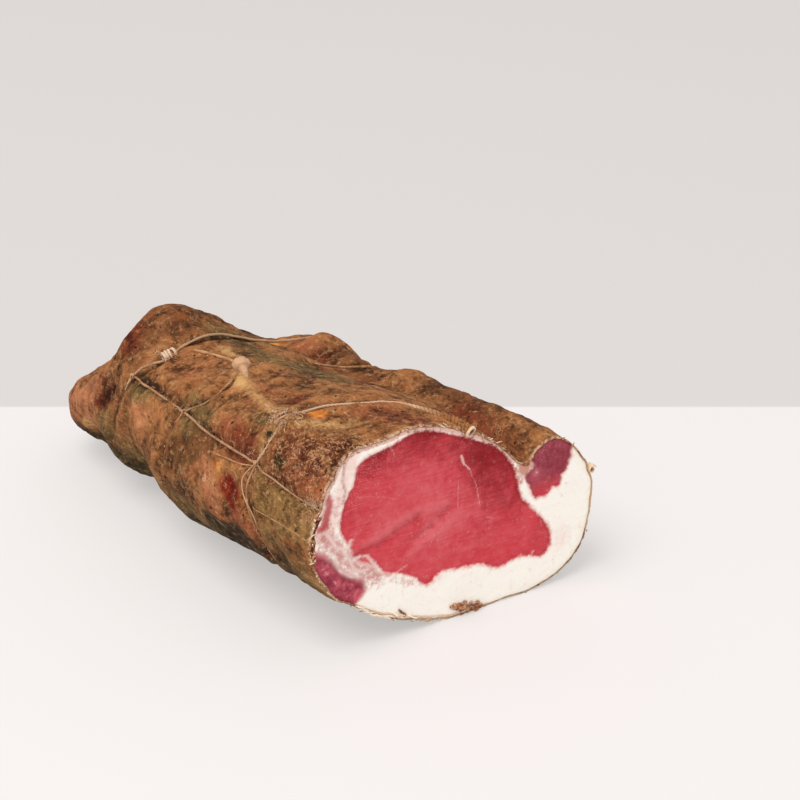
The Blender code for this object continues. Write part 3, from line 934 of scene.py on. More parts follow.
# Colours' places on the casing, and its swellings, folds and dimples: rows as patches() reads them
CASING_ZONES = {
    "olive": patches(
        ((-122, 3, 51), (-115, 3, 51), 5, 1),
        ((-85, 5, 59), (-77, 2, 55), (-80, -1, 48), (-85, -3, 42), 6.5, 1), ((-75, 5, 58), 6, 1),
        ((-120, 45, 62), (-95, 42, 63), (-63, 49, 65), 8, 1), ((-90, 48, 61), (-80, 54, 61), 8, 1),
        ((-130, 39, 62), (-125, 59, 54), 7, 0.8), ((-48, 10, 66), (-42, 10, 67), 4, 0.8),
        ((-24, -2, 38), (-16, -1, 32), 6, 0.9), ((-30, 0, 24), (-10, 2, 28), 8, 1),
        ((-82, -1, 25), (-76, 1, 22), 8, 1),
        ((-140, 3, 26), (-130, 4, 20), (-60, -1, 15), (-10, 12, 12), 12, 1),
        ((-60, 104, 40), (-20, 108, 44), 14, 0.8), ((-120, 92, 30), (-70, 100, 20), 14, 0.8)),
    "rust": patches(
        ((-12, 6, 66), (-22, 4, 64), (-5, 6, 60), 9, 1), ((-6, 14, 70), 6, 1), ((-58, 4, 60), 6, 1),
        ((-66, -2, 47), 4, 0.8), ((-143, 22, 66), (-136, 27, 66), 8, 0.5), ((-71, -3, 42), 4, 0.8),
        ((-18, 34, 74), (-3, 43, 74), 9, 0.8), ((-60, 20, 68), 9, 0.6), ((-104, 16, 63), 9, 0.6),
        ((-39, -4, 39), (-34, -3, 35), 5, 1), ((-113, 74, 49), (-124, 73, 51), 7, 0.7),
        ((-160, 12, 48), 7, 0.8), ((-20, 104, 54), 14, 0.5)),
    "bark": patches(
        ((-66, 0, 50), (-74, -1, 49), (-86, -3, 41), 7, 0.9), ((-137, 12, 60), (-129, 8, 58), 5, 0.8),
        ((-104, -1, 39), (-108, 0, 34), 6, 0.5), ((-32, 1, 31), (-22, 0, 30), 6, 0.6),
        ((-118, 33, 63), (-108, 40, 63), 7, 0.5), ((-146, 15, 62), (-138, 28, 66), (-150, 40, 63), 10, 1),
        ((-112, 76, 48), (-92, 80, 50), 9, 1), ((-30, 98, 52), (-60, 90, 54), 10, 0.7),
        ((-150, 60, 50), 10, 0.8)),
    "ochre": patches(
        ((-30, 0, 53), (-20, 0, 53), (-4, 1, 53), 3.5, 1), ((-27, -2, 48), (-2, 0, 45), 5.5, 1),
        ((-6, 0, 38), (-8, 3, 33), 4, 0.5)),
    "flesh": patches(
        ((-60, -3, 44), (-52, -4, 39), (-51, -4, 34), 4.5, 1.1), ((-64, -1, 47), 3, 0.7),
        ((-165, 2, 32), (-155, 3, 42), (-166, 2, 27), (-182, 6, 24), 9, 0.9),
        ((-117, 2, 46), (-111, 1, 45), (-112, 0, 42), 4, 0.75), ((-118, 17, 64), 6, 0.5),
        ((-64, 98, 50), 8, 0.5)),
    "ember": patches(
        ((-29, 21, 71), 3.2, 1.1), ((-137, 71, 48), 5, 0.8), ((-86, -2, 44), 3, 0.25),
        ((-55, -1, 49), 3, 0.5), ((-100, 2, 51), 3, 0.3), ((-40, -4, 43), 2.6, 0.8),
        ((-50, -4, 33), 3, 0.5)),
    "buff": patches(
        ((-88, 27, 66), (-82, 22, 65), (-75, 20, 66), 3.4, 1.2), (FRONT_TANGLE, 5, 0.9),
        ((-75, 20, 66), (-60, 17, 67), (-48, 14, 68), (-39, 14, 69), 2.4, 0.7),
        ((0, 112, 40), (0, 110, 22), (0, 98, 7), (0, 80, 1), (0, 50, 1), (0, 30, 5), 3, 1.1),
        ((-28, 14, 71), (-21, 20, 71), (-14, 28, 73), 2.6, 0.8),
        ((-103, 33, 63), (-113, 33, 62), 3.5, 0.6), ((-165, 4, 21), 6, 0.7),
        ((-2, 5, 26), (-6, 3, 29), (0, 9, 22), 3, 0.5), ((-4, 2, 48), 3, 0.6),
        ((-36, 4, 62), (-34, 9, 67), 2, 0.7)),
    "wine": patches(
        ((-146, 2, 40), (-149, 1, 38), (-141, 3, 43), 3.4, 1.2), ((-50, 3, 60), (-41, 3, 60), 5, 1),
        ((-53, 1, 57), (-43, 1, 57), 3.5, 0.9), ((-60, 4, 58), 4, 0.6),
        ((-146, 15, 62), (-140, 10, 59), 5, 0.9), ((-150, 30, 64), 5, 0.5), ((-15, 9, 68), 3.8, 1),
        ((-48, 25, 70), 4.2, 0.9), ((-113, 74, 49), 5, 0.8), ((-89, 61, 59), 5, 0.8),
        ((-64, 66, 60), 7, 0.9), ((-150, 70, 44), 8, 0.6), ((-90, 96, 34), 6, 0.6),
        # This patch along the valley behind the cut, between the ridge and the lobe, is partly painted
        # shade of the valley and partly a darker fold of the skin.
        ((-40, 84, 54), (-4, 78, 54), 9, 0.9)),
    "red": patches(
        ((-47, -3, 46), (-42, -3, 43), 4, 1.2)),
    # Dark olive patches. Those low on the flank, about 12 to 27 mm up, and in the crease under the bulge
    # are partly painted shade where the skin turns under; the small ones higher up are dark spots of the
    # skin.
    "moss_and_shade": patches(
        ((-68, 0, 49), (-73, -1, 46), 4, 0.5), ((-78, -2, 46), (-84, -4, 41), 4, 0.4),
        ((-60, -2, 27), (-44, -1, 27), (-34, 1, 25), 6, 1.3),
        ((-64, 3, 18), (-36, 4, 18), (-14, 8, 17), 7, 1.2), ((-28, 0, 25), (-12, 3, 21), 6, 0.6),
        ((-132, 6, 18), (-131, 11, 14), (-137, 3, 22), 7, 1.1), ((-23, 4, 63), (-21, 3, 60), 2.5, 1),
        ((-85, -4, 31), 3.5, 0.7), ((-118, 4, 14), (-80, 3, 12), 8, 1.2), ((-118, 2, 42), 3, 0.5),
        ((-12, -1, 38), 2.6, 0.7), ((-74, -3, 42), 3, 0.6), ((-34, 7, 66), 2.2, 1),
        ((-77, -1, 51), (-78, -3, 44), 5.5, 0.5), ((-66, 2, 24), 5, 0.8), ((-122, 3, 51), 3, 0.7)),
    "crumbly": patches(
        ((-12, 6, 64), (-24, 4, 62), (-8, 12, 70), 12, 1), ((-36, 8, 67), 6, 0.8),
        ((-40, 14, 70), (-60, 8, 60), 8, 0.5)),
    "pale": patches(
        # The pale patch on the bulge at (-60, -3, 43) is painted highlight on the bulge.
        ((-8, -1, 47), 1.2, 1), ((-88, 27, 66), 4.2, 1), ((-60, -3, 43), 2.6, 0.72)),
    "soot": patches(
        ((-55, -4, 35), 1, 1.4), ((-49, -4, 38), 0.9, 1.3), ((-41, -4, 39), 0.8, 1.2),
        ((-66, -4, 40), 0.9, 1.2), ((-39, -2, 32), 0.8, 1.2), ((-92, -3, 38), 0.8, 1.2),
        ((-108, 1, 46), 0.9, 1.3), ((-15, 0, 50), 1.1, 1.3), ((-16, -3, 44), 0.8, 1),
        ((-2, 2, 50), 0.9, 1), ((-17, 27, 73), 0.9, 1.2), ((-35, 7, 66), 1.4, 1.2), ((-32, 11, 69), 1, 1),
        ((-39, 11, 69), 0.9, 1), ((-37, 17, 71), 0.8, 1), ((-58, -3, 42), 0.7, 1), ((-61, -2, 34), 0.7, 1),
        ((-135, 19, 63), 0.8, 1), ((-146, 2, 40), 2.6, 0.6), ((-105, 72, 52), (-98, 74, 52), 1.5, 1),
        ((-58, -1, 27), 2.5, 0.8), ((-44, 0, 24), 3.5, 0.7)),
}
# How far the place of a zone wanders, 1 for the others
ZONE_DRIFT = {"soot": 0.0, "pale": 0.0, "wine": 0.5, "ember": 0.4, "red": 0.2, "buff": 0.3, "flesh": 0.7}
CASING_RELIEF = patches(
    ((-34, 12, 70), 4.2, 1.3), ((-28, -2, 45), (-15, -1, 45), (-7, -1, 45), (-3, 0, 44), 0.9, 0.6),
    ((-146, 2, 40), (-141, 3, 43), 3.6, -1.2), ((-141, 7, 55), (-134, 1, 43), (-135, 0, 34), 2.5, -0.7),
    ((-164, 2, 34), 7, 0.8), ((-45, -3, 46), 4, -0.6), ((-56, -4, 39), 7, 1.2), ((-116, 1, 45), 8, 1),
    ((-57, -2, 27), (-44, -1, 27), 4, -0.8), ((-14, 7, 66), 6, 0.5), ((-72, -1, 50), 5, 0.7),
    ((-105, 2, 34), 7, 0.8), ((-36, 8, 67), 1.3, -0.9), ((-31, 14, 72), 1.2, -0.7),
    ((-38, 13, 70), (-58, 16, 68), (-75, 21, 66), (-88, 27, 66), 2.2, 0.7),
    ((-75, 20, 66), (-82, 22, 65), (-88, 27, 66), 2.8, 1.3),
    ((-30, 15, 71), (-20, 26, 74), (-12, 34, 75), 2, 0.7),
    ((-88, 27, 66), (-99, 29, 66), (-112, 26, 66), (-122, 23, 65), 1.5, 0.5), ((-88, 27, 66), 5, 0.9),
    ((-26, 42, 73), (-11, 56, 68), (0, 62, 66), 2.3, 0.9), ((-112, 68, 52), (-104, 74, 50), 1.3, -1),
    ((-96, 66, 56), (-86, 70, 55), 1.4, -0.9), ((-15, 9, 68), 3.2, -0.5), ((-48, 25, 70), 4.5, -0.6),
    ((-48, 2, 59), (-40, 2, 60), 5, -0.5), ((-15, 0, 50), 1.3, -0.8), ((-55, -4, 35), 1.1, -0.6))
# Knots that wrinkles of the skin run to, with how many there are and how far they reach, mm
PUCKERS = ((FRONT_CROSSING, 9, 8), (MIDDLE_CROSSING, 8, 8), (FRONT_TANGLE, 9, 9), (MIDDLE_BALL, 10, 9),
           (FAR_WRAPS, 9, 8), (FAR_CROSSING, 8, 7))


@dataclass
class Casing:
    """The dried skin round the loin.

    Attributes:
        levels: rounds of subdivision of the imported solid's outer wall.
        fitting: rounds that keep the smooth skin on the solid's own points.
        deepest: how far the relief may go into the skin, mm.
        rim_wall: the skin's thickness at the cut, mm.
        thinned: how much thinner it is at the back of the rim, mm.
        rim_depth: how far behind the cut the rim reaches, mm.
        inner_gap: how far behind that the solid's own inner wall starts, mm.
    """

    levels: int = 3
    fitting: int = 3
    deepest: float = -0.85
    rim_wall: float = 0.5
    thinned: float = 0.15
    rim_depth: float = 1.6
    inner_gap: float = 0.6

    def walls(self) -> tuple[BMesh, BMesh]:
        """The solid's outer and inner walls, without the rim between them."""
        outer = SPACE.solid("casing")
        rim = [f for f in outer.faces if all(v.co.x > -WELD * 20 for v in f.verts)]
        bmesh.ops.delete(outer, geom=rim, context="FACES")
        inner = outer.copy()
        for wall, is_outer in ((outer, True), (inner, False)):
            outside = linked(max(wall.verts, key=lambda v: v.co.z))
            dropped = [v for v in wall.verts if (v in outside) is not is_outer]
            bmesh.ops.delete(wall, geom=dropped, context="VERTS")
        return outer, inner

    def smooth_wall(self, cage: BMesh) -> BMesh:
        """The outer wall subdivided into a smooth one through the same points.

        Args:
            cage: the solid's outer wall, which is freed.

        Returns:
            The smooth wall.
        """
        bmesh.ops.join_triangles(cage, faces=cage.faces, angle_face_threshold=math.pi,
                                 angle_shape_threshold=math.pi)
        target = coordinates(cage)
        mesh = mesh_of(cage, "cage")
        holder = new_object("cage", mesh)
        rounding = holder.modifiers.new("rounding", "SUBSURF")
        rounding.levels = rounding.render_levels = self.levels
        control = target.copy()
        for _ in range(self.fitting + 1):
            mesh.vertices.foreach_set("co", control.ravel())
            mesh.update()
            wall = bmesh_of(evaluated(holder))
            control += target - coordinates(wall)[:len(target)]
        bpy.data.objects.remove(holder)
        bpy.data.meshes.remove(mesh)
        return wall

    @staticmethod
    def puckers(places: Array) -> Array:
        """Wrinkles that run to the knots.

        Args:
            places: the wall's points.

        Returns:
            A height for each point, mm.
        """
        height = np.zeros(len(places))
        for knot, count, reach in PUCKERS:
            away = places - np.array(knot, float)
            distance = np.linalg.norm(away, axis=1)
            angle = np.arctan2(away[:, 1] + away[:, 2], away[:, 0])
            waves = 0.32 * np.cos(count * angle + distance * 0.25)
            height += waves * np.exp(-(distance / reach)**2) * smoothstep(1.0, 4.0, distance)
        return height

    def relief(self, places: Array, strands: "Strands") -> Array:
        """Height of the skin over the smooth wall.

        Args:
            places: the wall's points.
            strands: the twine, which presses into the skin.

        Returns:
            A height for each point, mm.
        """
        crumbly = strongest(CASING_ZONES["crumbly"], places)
        height = 0.25 + 0.8 * lumps(places, 22, 2, 1.0) + 0.65 * lumps(places, 9, 2, 2.0)
        height += (0.22 + 0.3 * crumbly) * lumps(places, 3.6, 3, 3.0)
        height += 0.45 * (creases(places * (1.0, 0.6, 0.6), 7.0, 4.0) - 0.6)
        height += summed(CASING_RELIEF, places) + self.puckers(places)
        near = strands.distance(places)
        height += -0.9 * np.exp(-(near / 1.8)**2) + 0.7 * np.exp(-((near - 4.6) / 2.8)**2)
        return np.maximum(height, self.deepest)

    def skin(self, strands_of: Callable[[Surface], "Strands"]) -> tuple[BMesh, "Strands", Array]:
        """The wrinkled outer wall.

        Args:
            strands_of: lays the strands on a surface.

        Returns:
            The wall, the strands that press into it, and its points before it was wrinkled.
        """
        outer, _ = self.walls()
        wall = self.smooth_wall(outer)
        wall.normal_update()
        strands = strands_of(Surface(wall))
        places, ways = coordinates(wall), np.array([v.normal for v in wall.verts])
        at_rim = np.exp(np.minimum(places[:, 0], 0) / 1.2)
        ways[:, 0] *= 1 - at_rim
        height = self.relief(places, strands)[:, None]
        raised = places + unit(ways) * height * (1 - 0.45 * at_rim)[:, None]
        peeled = smoothstep(34, 38, places[:, 2]) * smoothstep(54, 50, places[:, 2]) * (places[:, 1] < 15)
        raised[:, 0] -= at_rim * (0.35 + 0.5 * peeled) * (1 + lumps(places, 1.7, 2, 6.0))
        raised[:, 0] = np.minimum(raised[:, 0], 0)
        raised[:, 2] = np.maximum(raised[:, 2], 0)
        move_to(wall, raised)
        wall.normal_update()
        return wall, strands, places

    def close(self, wall: BMesh) -> Array:
        """Give the wrinkled wall its rim and its inner wall.

        Args:
            wall: the outer wall, which becomes the whole casing.

        Returns:
            The rim's outer edge in order, y and z.
        """
        edges = [e for e in wall.edges if e.is_boundary]
        rim = np.array([v.co[1:] for v in ordered(edges)])
        for width, back in ((self.rim_wall, 0.0), (-self.thinned, self.rim_depth)):
            edges = extruded(wall, edges)[1]
            verts = ordered(edges)
            for vertex, (y, z) in zip(verts, inward(np.array([v.co[1:] for v in verts]), 2) * width):
                vertex.co += Vector((-back, y, z))
        _, inner = self.walls()
        for vertex in inner.verts:
            if vertex.is_boundary:
                vertex.co.x = -self.rim_depth - self.inner_gap
        add_to(wall, inner)
        bmesh.ops.bridge_loops(wall, edges=[e for e in wall.edges if e.is_boundary])
        turned_outwards(wall)
        return rim

    def masks(self, places: Array, strands: "Strands") -> dict[str, Array]:
        """Where each colour of the casing shows.

        Args:
            places: its vertices, those of the outer wall before it was wrinkled.
            strands: the twine on the smooth wall.

        Returns:
            The masks that the material reads.
        """
        drift = np.stack([2.6 * lumps(places, 5.5, 2, seed) + 1.0 * lumps(places, 1.9, 2, seed + 9)
                          for seed in (21.0, 22.0, 23.0)], axis=1)
        found = {name: np.clip(strongest(zone, places + drift * ZONE_DRIFT.get(name, 1.0)), 0, 1.3)
                 for name, zone in CASING_ZONES.items()}
        # Darker in a band beside the twine, in places.
        beside = np.exp(-((strands.distance(places) - 1.2) / 1.0)**2)
        beside *= 0.42 * smoothstep(-0.1, 0.6, lumps(places, 8, 2, 30.0))
        found["soot"] = np.maximum(found["soot"], beside)
        found["rim"] = np.exp(np.minimum(places[:, 0], 0) / 0.5)
        # The relief's height, from which the material paints highlight on the rises and shade in the
        # hollows.
        found["rise"] = np.clip(self.relief(places, strands), -1, 1.2)
        # Painted shade, partly the skin's darker colour too: below about 24 mm up, the skin turns to the
        # darkest olive towards the bottom.
        underside_shade = smoothstep(24, 9, places[:, 2] + 4 * lumps(places, 9, 2, 33.0))
        found["moss_and_shade"] = np.maximum(found["moss_and_shade"], underside_shade)
        return found


def ordered(edges: Sequence[BMEdge]) -> list[BMVert]:
    """The vertices of a closed ring of edges.

    Args:
        edges: the ring's edges in any order.

    Returns:
        The vertices in order.
    """
    links: dict[BMVert, list[BMVert]] = {}
    for edge in edges:
        a, b = edge.verts
        links.setdefault(a, []).append(b)
        links.setdefault(b, []).append(a)
    first = edges[0].verts[0]
    ring, before = [first], None
    while True:
        here = ring[-1]
        after = next(v for v in links[here] if v is not before)
        if after is first and len(ring) > 2:
            return ring
        ring.append(after)
        before = here


# The twine


class Wear(Enum):
    """How a strand looks."""

    COTTON = "cotton"
    BURIED = "buried"
    THREAD = "thread"


@dataclass(frozen=True)
class Route:
    """A strand's way over the casing.

    Attributes:
        points: what it is laid through.
        closed: whether it is a ring.
        radius: its radius, mm.
        wear: how it looks.
        swelling: radius at its end, and the length over which it swells there; none if 0.
        lift: height of its middle over the skin, as a share of its radius.
        sunk: where it lies deeper in the skin, each amount in mm.
        bleached: how pale it is.
        hollow: whether its last end is open.
    """

    points: tuple[Point, ...]
    closed: bool = False
    radius: float = 0.55
    wear: Wear = Wear.COTTON
    swelling: tuple[float, float] = (0.0, 1.0)
    lift: float = 0.2
    sunk: tuple[Patch, ...] = ()
    bleached: float = 0.2
    hollow: bool = False

    def swollen(self, path: Array) -> Array:
        """How far it has swollen at each point, from 0 to 1 at its end."""
        size, reach = self.swelling
        return smoothstep(reach, 0, np.linalg.norm(path - path[-1], axis=1)) * (size > 0)

    def radii(self, path: Array) -> Array:
        """Its radius at each point."""
        return self.radius + max(0.0, self.swelling[0] - self.radius) * self.swollen(path)


OPEN_END_REACH = 4.0    # the ring of an open end is this close to it, mm
BELLY_X = (-31.0, -92.0, -133.0)      # where the strands pass below the loin
ROUTES = {
    "lengthwise": Route(
        (FRONT_CROSSING, (-52, 1, 56), (-70, 2, 55), MIDDLE_CROSSING, (-113, 4, 56), FAR_CROSSING),
        radius=0.46, sunk=patches(((-88, 3, 56), (-113, 4, 56), (-124, 3, 55), 4, 0.4))),
    "front_tail": Route(
        ((-0.5, 3.3, 54.4), (-8, 2, 55), (-15, 1, 55.3), (-23, 1, 56), (-31, 1, 56.2), FRONT_CROSSING),
        radius=0.31, lift=0.5, bleached=0.3),
    "front_upper": Route(
        (FRONT_CROSSING, (-33, 5, 64), FRONT_TANGLE, (-36, 18, 71), (-34, 28, 73), (-27, 37, 74),
         (-22, 47, 72), (-11, 56, 68), (-0.3, 60.5, 67)),
        swelling=(1.9, 30.0), bleached=0.55, hollow=True,
        sunk=patches(((-35, 5, 64), (-35, 8, 67), 3, 0.5))),
    "front_lower": Route(
        (FRONT_CROSSING, (-36, -3, 47), (-31, -4, 40), (-29, -1, 30), (BELLY_X[0], 20, 11),
         (BELLY_X[0], 44, 2), (BELLY_X[0], 66, 2), (BELLY_X[0], 90, 3), (-27, 106, 14), (-16, 111, 27),
         (-0.5, 110, 39)),
        radius=0.5, bleached=0.0,
        sunk=patches(((-36, -3, 47), (-31, -4, 40), (-29, -1, 30), (-31, 20, 11), 4, 0.25))),
    "middle": Route(
        (MIDDLE_CROSSING, (-80, 8, 62), (-81, 17, 65), MIDDLE_BALL, (-94, 44, 64), (-97, 62, 58),
         (-98, 84, 51), (-97, 98, 38), (-95, 100, 24), (BELLY_X[1], 86, 3), (BELLY_X[1], 64, 2),
         (BELLY_X[1], 40, 3), (BELLY_X[1], 16, 12), (-93, -3, 28), (-92, -3, 44)),
        closed=True, radius=0.5, bleached=0.0,
        sunk=patches(((-91, -1, 50), (-92, -3, 44), (-93, -3, 28), (-92, 16, 12), 3, 0.8),
                     ((-84, 5, 59), (-80, 10, 63), 3, 0.3),
                     ((-90, 34, 65), (-94, 44, 64), (-97, 62, 58), (-98, 80, 52), 4, 0.45))),
    "far": Route(
        (FAR_CROSSING, (-122, 9, 61), FAR_WRAPS, (-124, 22, 65), (-124.5, 33, 65.5), (-126, 45, 63),
         (-127, 62, 56), BACK_KNOT, (-131, 90, 36), (-133, 88, 20), (BELLY_X[2], 74, 3),
         (BELLY_X[2], 52, 2), (BELLY_X[2], 32, 4), (-135, 8, 14), (-136, 0, 28), (-133, 1, 42)),
        closed=True, bleached=0.35,
        sunk=patches(((-129, 1, 49), (-133, 1, 42), (-136, 0, 28), (-135, 8, 14), 3, 0.85),
                     ((-126, 47, 63), (-127, 62, 56), 8, 0.5))),
    "front_link": Route(
        (FRONT_TANGLE, (-40, 13, 70), (-58, 16, 68), (-75, 21, 66), MIDDLE_BALL), wear=Wear.BURIED,
        lift=-0.8, swelling=(1.9, 15.0), bleached=0.3,
        sunk=patches(((-40, 13, 70), (-58, 16, 68), (-72, 20, 66), 6, 0.6))),
    "far_link": Route(
        (MIDDLE_BALL, (-99, 29, 66), (-112, 26, 66), (-122, 23, 65)), wear=Wear.BURIED, lift=-1.4),
    "side_thread": Route(
        ((-68, 0, 50), (-53, 0, 52.5), (-43, 0, 54), (-37, 1, 56)), radius=0.24, wear=Wear.THREAD,
        lift=0.0, bleached=0.0, sunk=patches(((-68, 0, 50), 8, 0.35))),
    "second_lower": Route(
        ((-37, 1, 56), (-39.5, -1, 51), (-36.5, -3, 46), (-30, -3, 41), (-29, -3, 37)), radius=0.26,
        wear=Wear.THREAD, bleached=0.3),
    "seam_thread": Route(
        ((-30, -2.5, 45), (-22, -2, 45), (-15, -1, 45), (-7, -1, 45), (-2.5, 0, 44)), radius=0.16,
        wear=Wear.THREAD, bleached=0.1, lift=-0.2),
}


@dataclass
class Strands:
    """The twine's centre lines on a surface.

    Attributes:
        surface: what they lie on.
        coarse: distance between points while a strand is pulled taut, mm.
        step: distance between the points of a finished strand, mm.
        rounds: rounds of pulling taut.
        uneven: how far a strand comes and goes in the skin, mm.
        paths: the finished strands' points.
        tree: the points of those of cotton, to be searched.
    """

    surface: Surface
    coarse: float = 3.0
    step: float = 0.65
    rounds: int = 40
    uneven: float = 0.22
    paths: dict[str, Array] = field(default_factory=dict)
    tree: PointTree | None = None

    def lay_all(self) -> "Strands":
        """Lay every strand."""
        self.paths = {name: self.lay(route) for name, route in ROUTES.items()}
        self.tree = PointTree(np.vstack(self.cotton()))
        return self

    def cotton(self) -> list[Array]:
        """The points of the strands that show as cotton."""
        return [path for name, path in self.paths.items() if ROUTES[name].wear is Wear.COTTON]

    def distance(self, places: Array) -> Array:
        """Distance from each place to the nearest strand of cotton."""
        return self.tree.nearest(places)[1]

    def lay(self, route: Route) -> Array:
        """One strand's centre line: taut over hollows, and on the surface elsewhere.

        Args:
            route: the strand.

        Returns:
            Its points.
        """
        lift = route.radius * route.lift
        curve = smooth_curve([self.surface.nearest(p)[0] for p in route.points], 12, route.closed)
        base, outward = self.surface.feet(respaced(curve, self.coarse, route.closed))
        for _ in range(4):
            around = np.pad(outward, ((1, 1), (0, 0)), "wrap" if route.closed else "edge")
            outward = unit(outward + around[:-2] + around[2:])
        height = np.full(len(base), lift)
        count = len(base)
        for _ in range(self.rounds):
            path = base + outward * height[:, None]
            for i in range(0 if route.closed else 1, count if route.closed else count - 1):
                chord = (path[i - 1] + path[(i + 1) % count]) / 2 - base[i]
                height[i] = max(lift, height[i] + 0.6 * (float(chord @ outward[i]) - height[i]))
                path[i] = base[i] + outward[i] * height[i]
        curve = smooth_curve(base + outward * height[:, None], 8, route.closed)
        path = respaced(curve, self.step, route.closed)
        feet, ways = self.surface.feet(path)
        rise = ((path - feet) * ways).sum(1)
        path = path + ways * np.maximum(0, lift - rise)[:, None]
        for _ in range(2):
            middle = (path[:-2] + path[2:]) / 2
            path[1:-1] = 0.5 * path[1:-1] + 0.5 * middle
        deeper = summed(route.sunk, path) if route.sunk else 0.0
        deeper = deeper + self.uneven * min(1.0, route.radius * 1.6) * (0.6 + lumps(path, 7.0, 2, 17.0))
        path += ways * (0.7 * (route.radii(path) - route.radius) - deeper)[:, None]
        path[:, 2] = np.maximum(path[:, 2], route.radius + 0.05)
        path[:, 0] = np.minimum(path[:, 0], -0.2)
        return path


@dataclass
class Tube:
    """A round or three-lobed tube along a path.

    Attributes:
        path: its centre line.
        radii: its radius at each point.
        closed: whether it is a ring.
        sides: points round it.
        lobes: depth of the grooves between three plies, as a share of its radius.
        pitch: length of a ply's turn, mm.
        capped: whether its ends are closed.
    """

    path: Array
    radii: Array
    closed: bool = False
    sides: int = 12
    lobes: float = 0.0
    pitch: float = 4.2
    capped: bool = True

    def shape(self) -> BMesh:
        """The tube's mesh."""
        angles = 2 * np.pi * np.arange(self.sides) / self.sides
        reach = 1 + self.lobes * np.cos(3 * angles)
        profile = new_curve("2D")
        ring = np.stack([reach * np.cos(angles), reach * np.sin(angles), np.zeros(self.sides)], axis=1)
        add_line(profile, ring, np.ones(self.sides), True)
        holder = new_object("profile", profile)
        curve = new_curve("3D")
        curve.bevel_mode, curve.bevel_object, curve.use_fill_caps = "OBJECT", holder, self.capped
        line = add_line(curve, self.path, self.radii, self.closed)
        if self.lobes:
            run = lengths(self.path)
            ply = 2 * math.pi / 3
            turns = round(2 * math.pi * run[-1] / self.pitch / ply) * ply
            for point, along in zip(line.points, run / run[-1]):
                point.tilt = turns * along      # Blender holds it at 60 turns
        bm = drawn(curve)
        bpy.data.objects.remove(holder)
        bpy.data.curves.remove(profile)
        if self.capped or self.closed:
            turned_outwards(bm)
        return bm


class Bundle:
    """Several shapes joined into one piece, each with its own masks."""

    def __init__(self, masks: Sequence[str]) -> None:
        """Start with nothing but the names of the values that every shape has."""
        self.bm = bmesh.new()
        self.values: dict[str, list[Array]] = {name: [] for name in masks}

    def add(self, shape: BMesh, **masks: Array | float) -> None:
        """Add a shape.

        Args:
            shape: the shape, which is freed.
            masks: its masks; those not given are 0.
        """
        for name, values in self.values.items():
            values.append(np.broadcast_to(np.asarray(masks.get(name, 0.0), float), (len(shape.verts),)))
        add_to(self.bm, shape)

    def masks(self) -> dict[str, Array]:
        """All the values in the order of the vertices."""
        return {name: np.concatenate(values) for name, values in self.values.items()}


# Turns of twine round the strands, as Twine.wraps reads them
WRAPS = (
    (FAR_WRAPS, (-121, 33, 66), 1.9, 4, 1.25, 0.55, 0.7),
    (FRONT_CROSSING, (-52, 1, 56), 0.7, 2, 0.8, 0.35, 0.3),
    (MIDDLE_CROSSING, (-70, 2, 55), 0.7, 1, 1.0, 0.4, 0.1),
    (FAR_CROSSING, (-113, 4, 56), 0.7, 2, 0.9, 0.4, 0.3),
    (BACK_KNOT, (-124, 62, 57), 1.3, 3, 1.1, 0.55, 0.3),
)
# Rings of an open end: its width against the last, how far on it is, mm, how much pale lip it is, and how
# much hole, painted dark as the shade inside
OPEN_END = ((1.06, 0.2, 0.7, 0.0), (1.0, 0.5, 1.0, 0.0), (0.8, 0.25, 1.0, 0.0), (0.72, -0.1, 0.6, 0.3),
            (0.9, -1.0, 0.0, 1.0), (0.6, -1.2, 0.0, 1.0))
# Loops of the frayed knot: how far along it, half width, half height and the twine's radius, mm
LOOPS = ((-2.4, 1.7, 1.5, 0.42), (-0.4, 2.0, 1.9, 0.45), (1.6, 1.4, 1.5, 0.4), (3.2, 1.2, 0.8, 0.3))


def scattered(draw: random.Random, *sizes: float) -> Array:
    """A random vector, each of its parts at most so far from 0."""
    return np.array([draw.uniform(-size, size) for size in sizes])


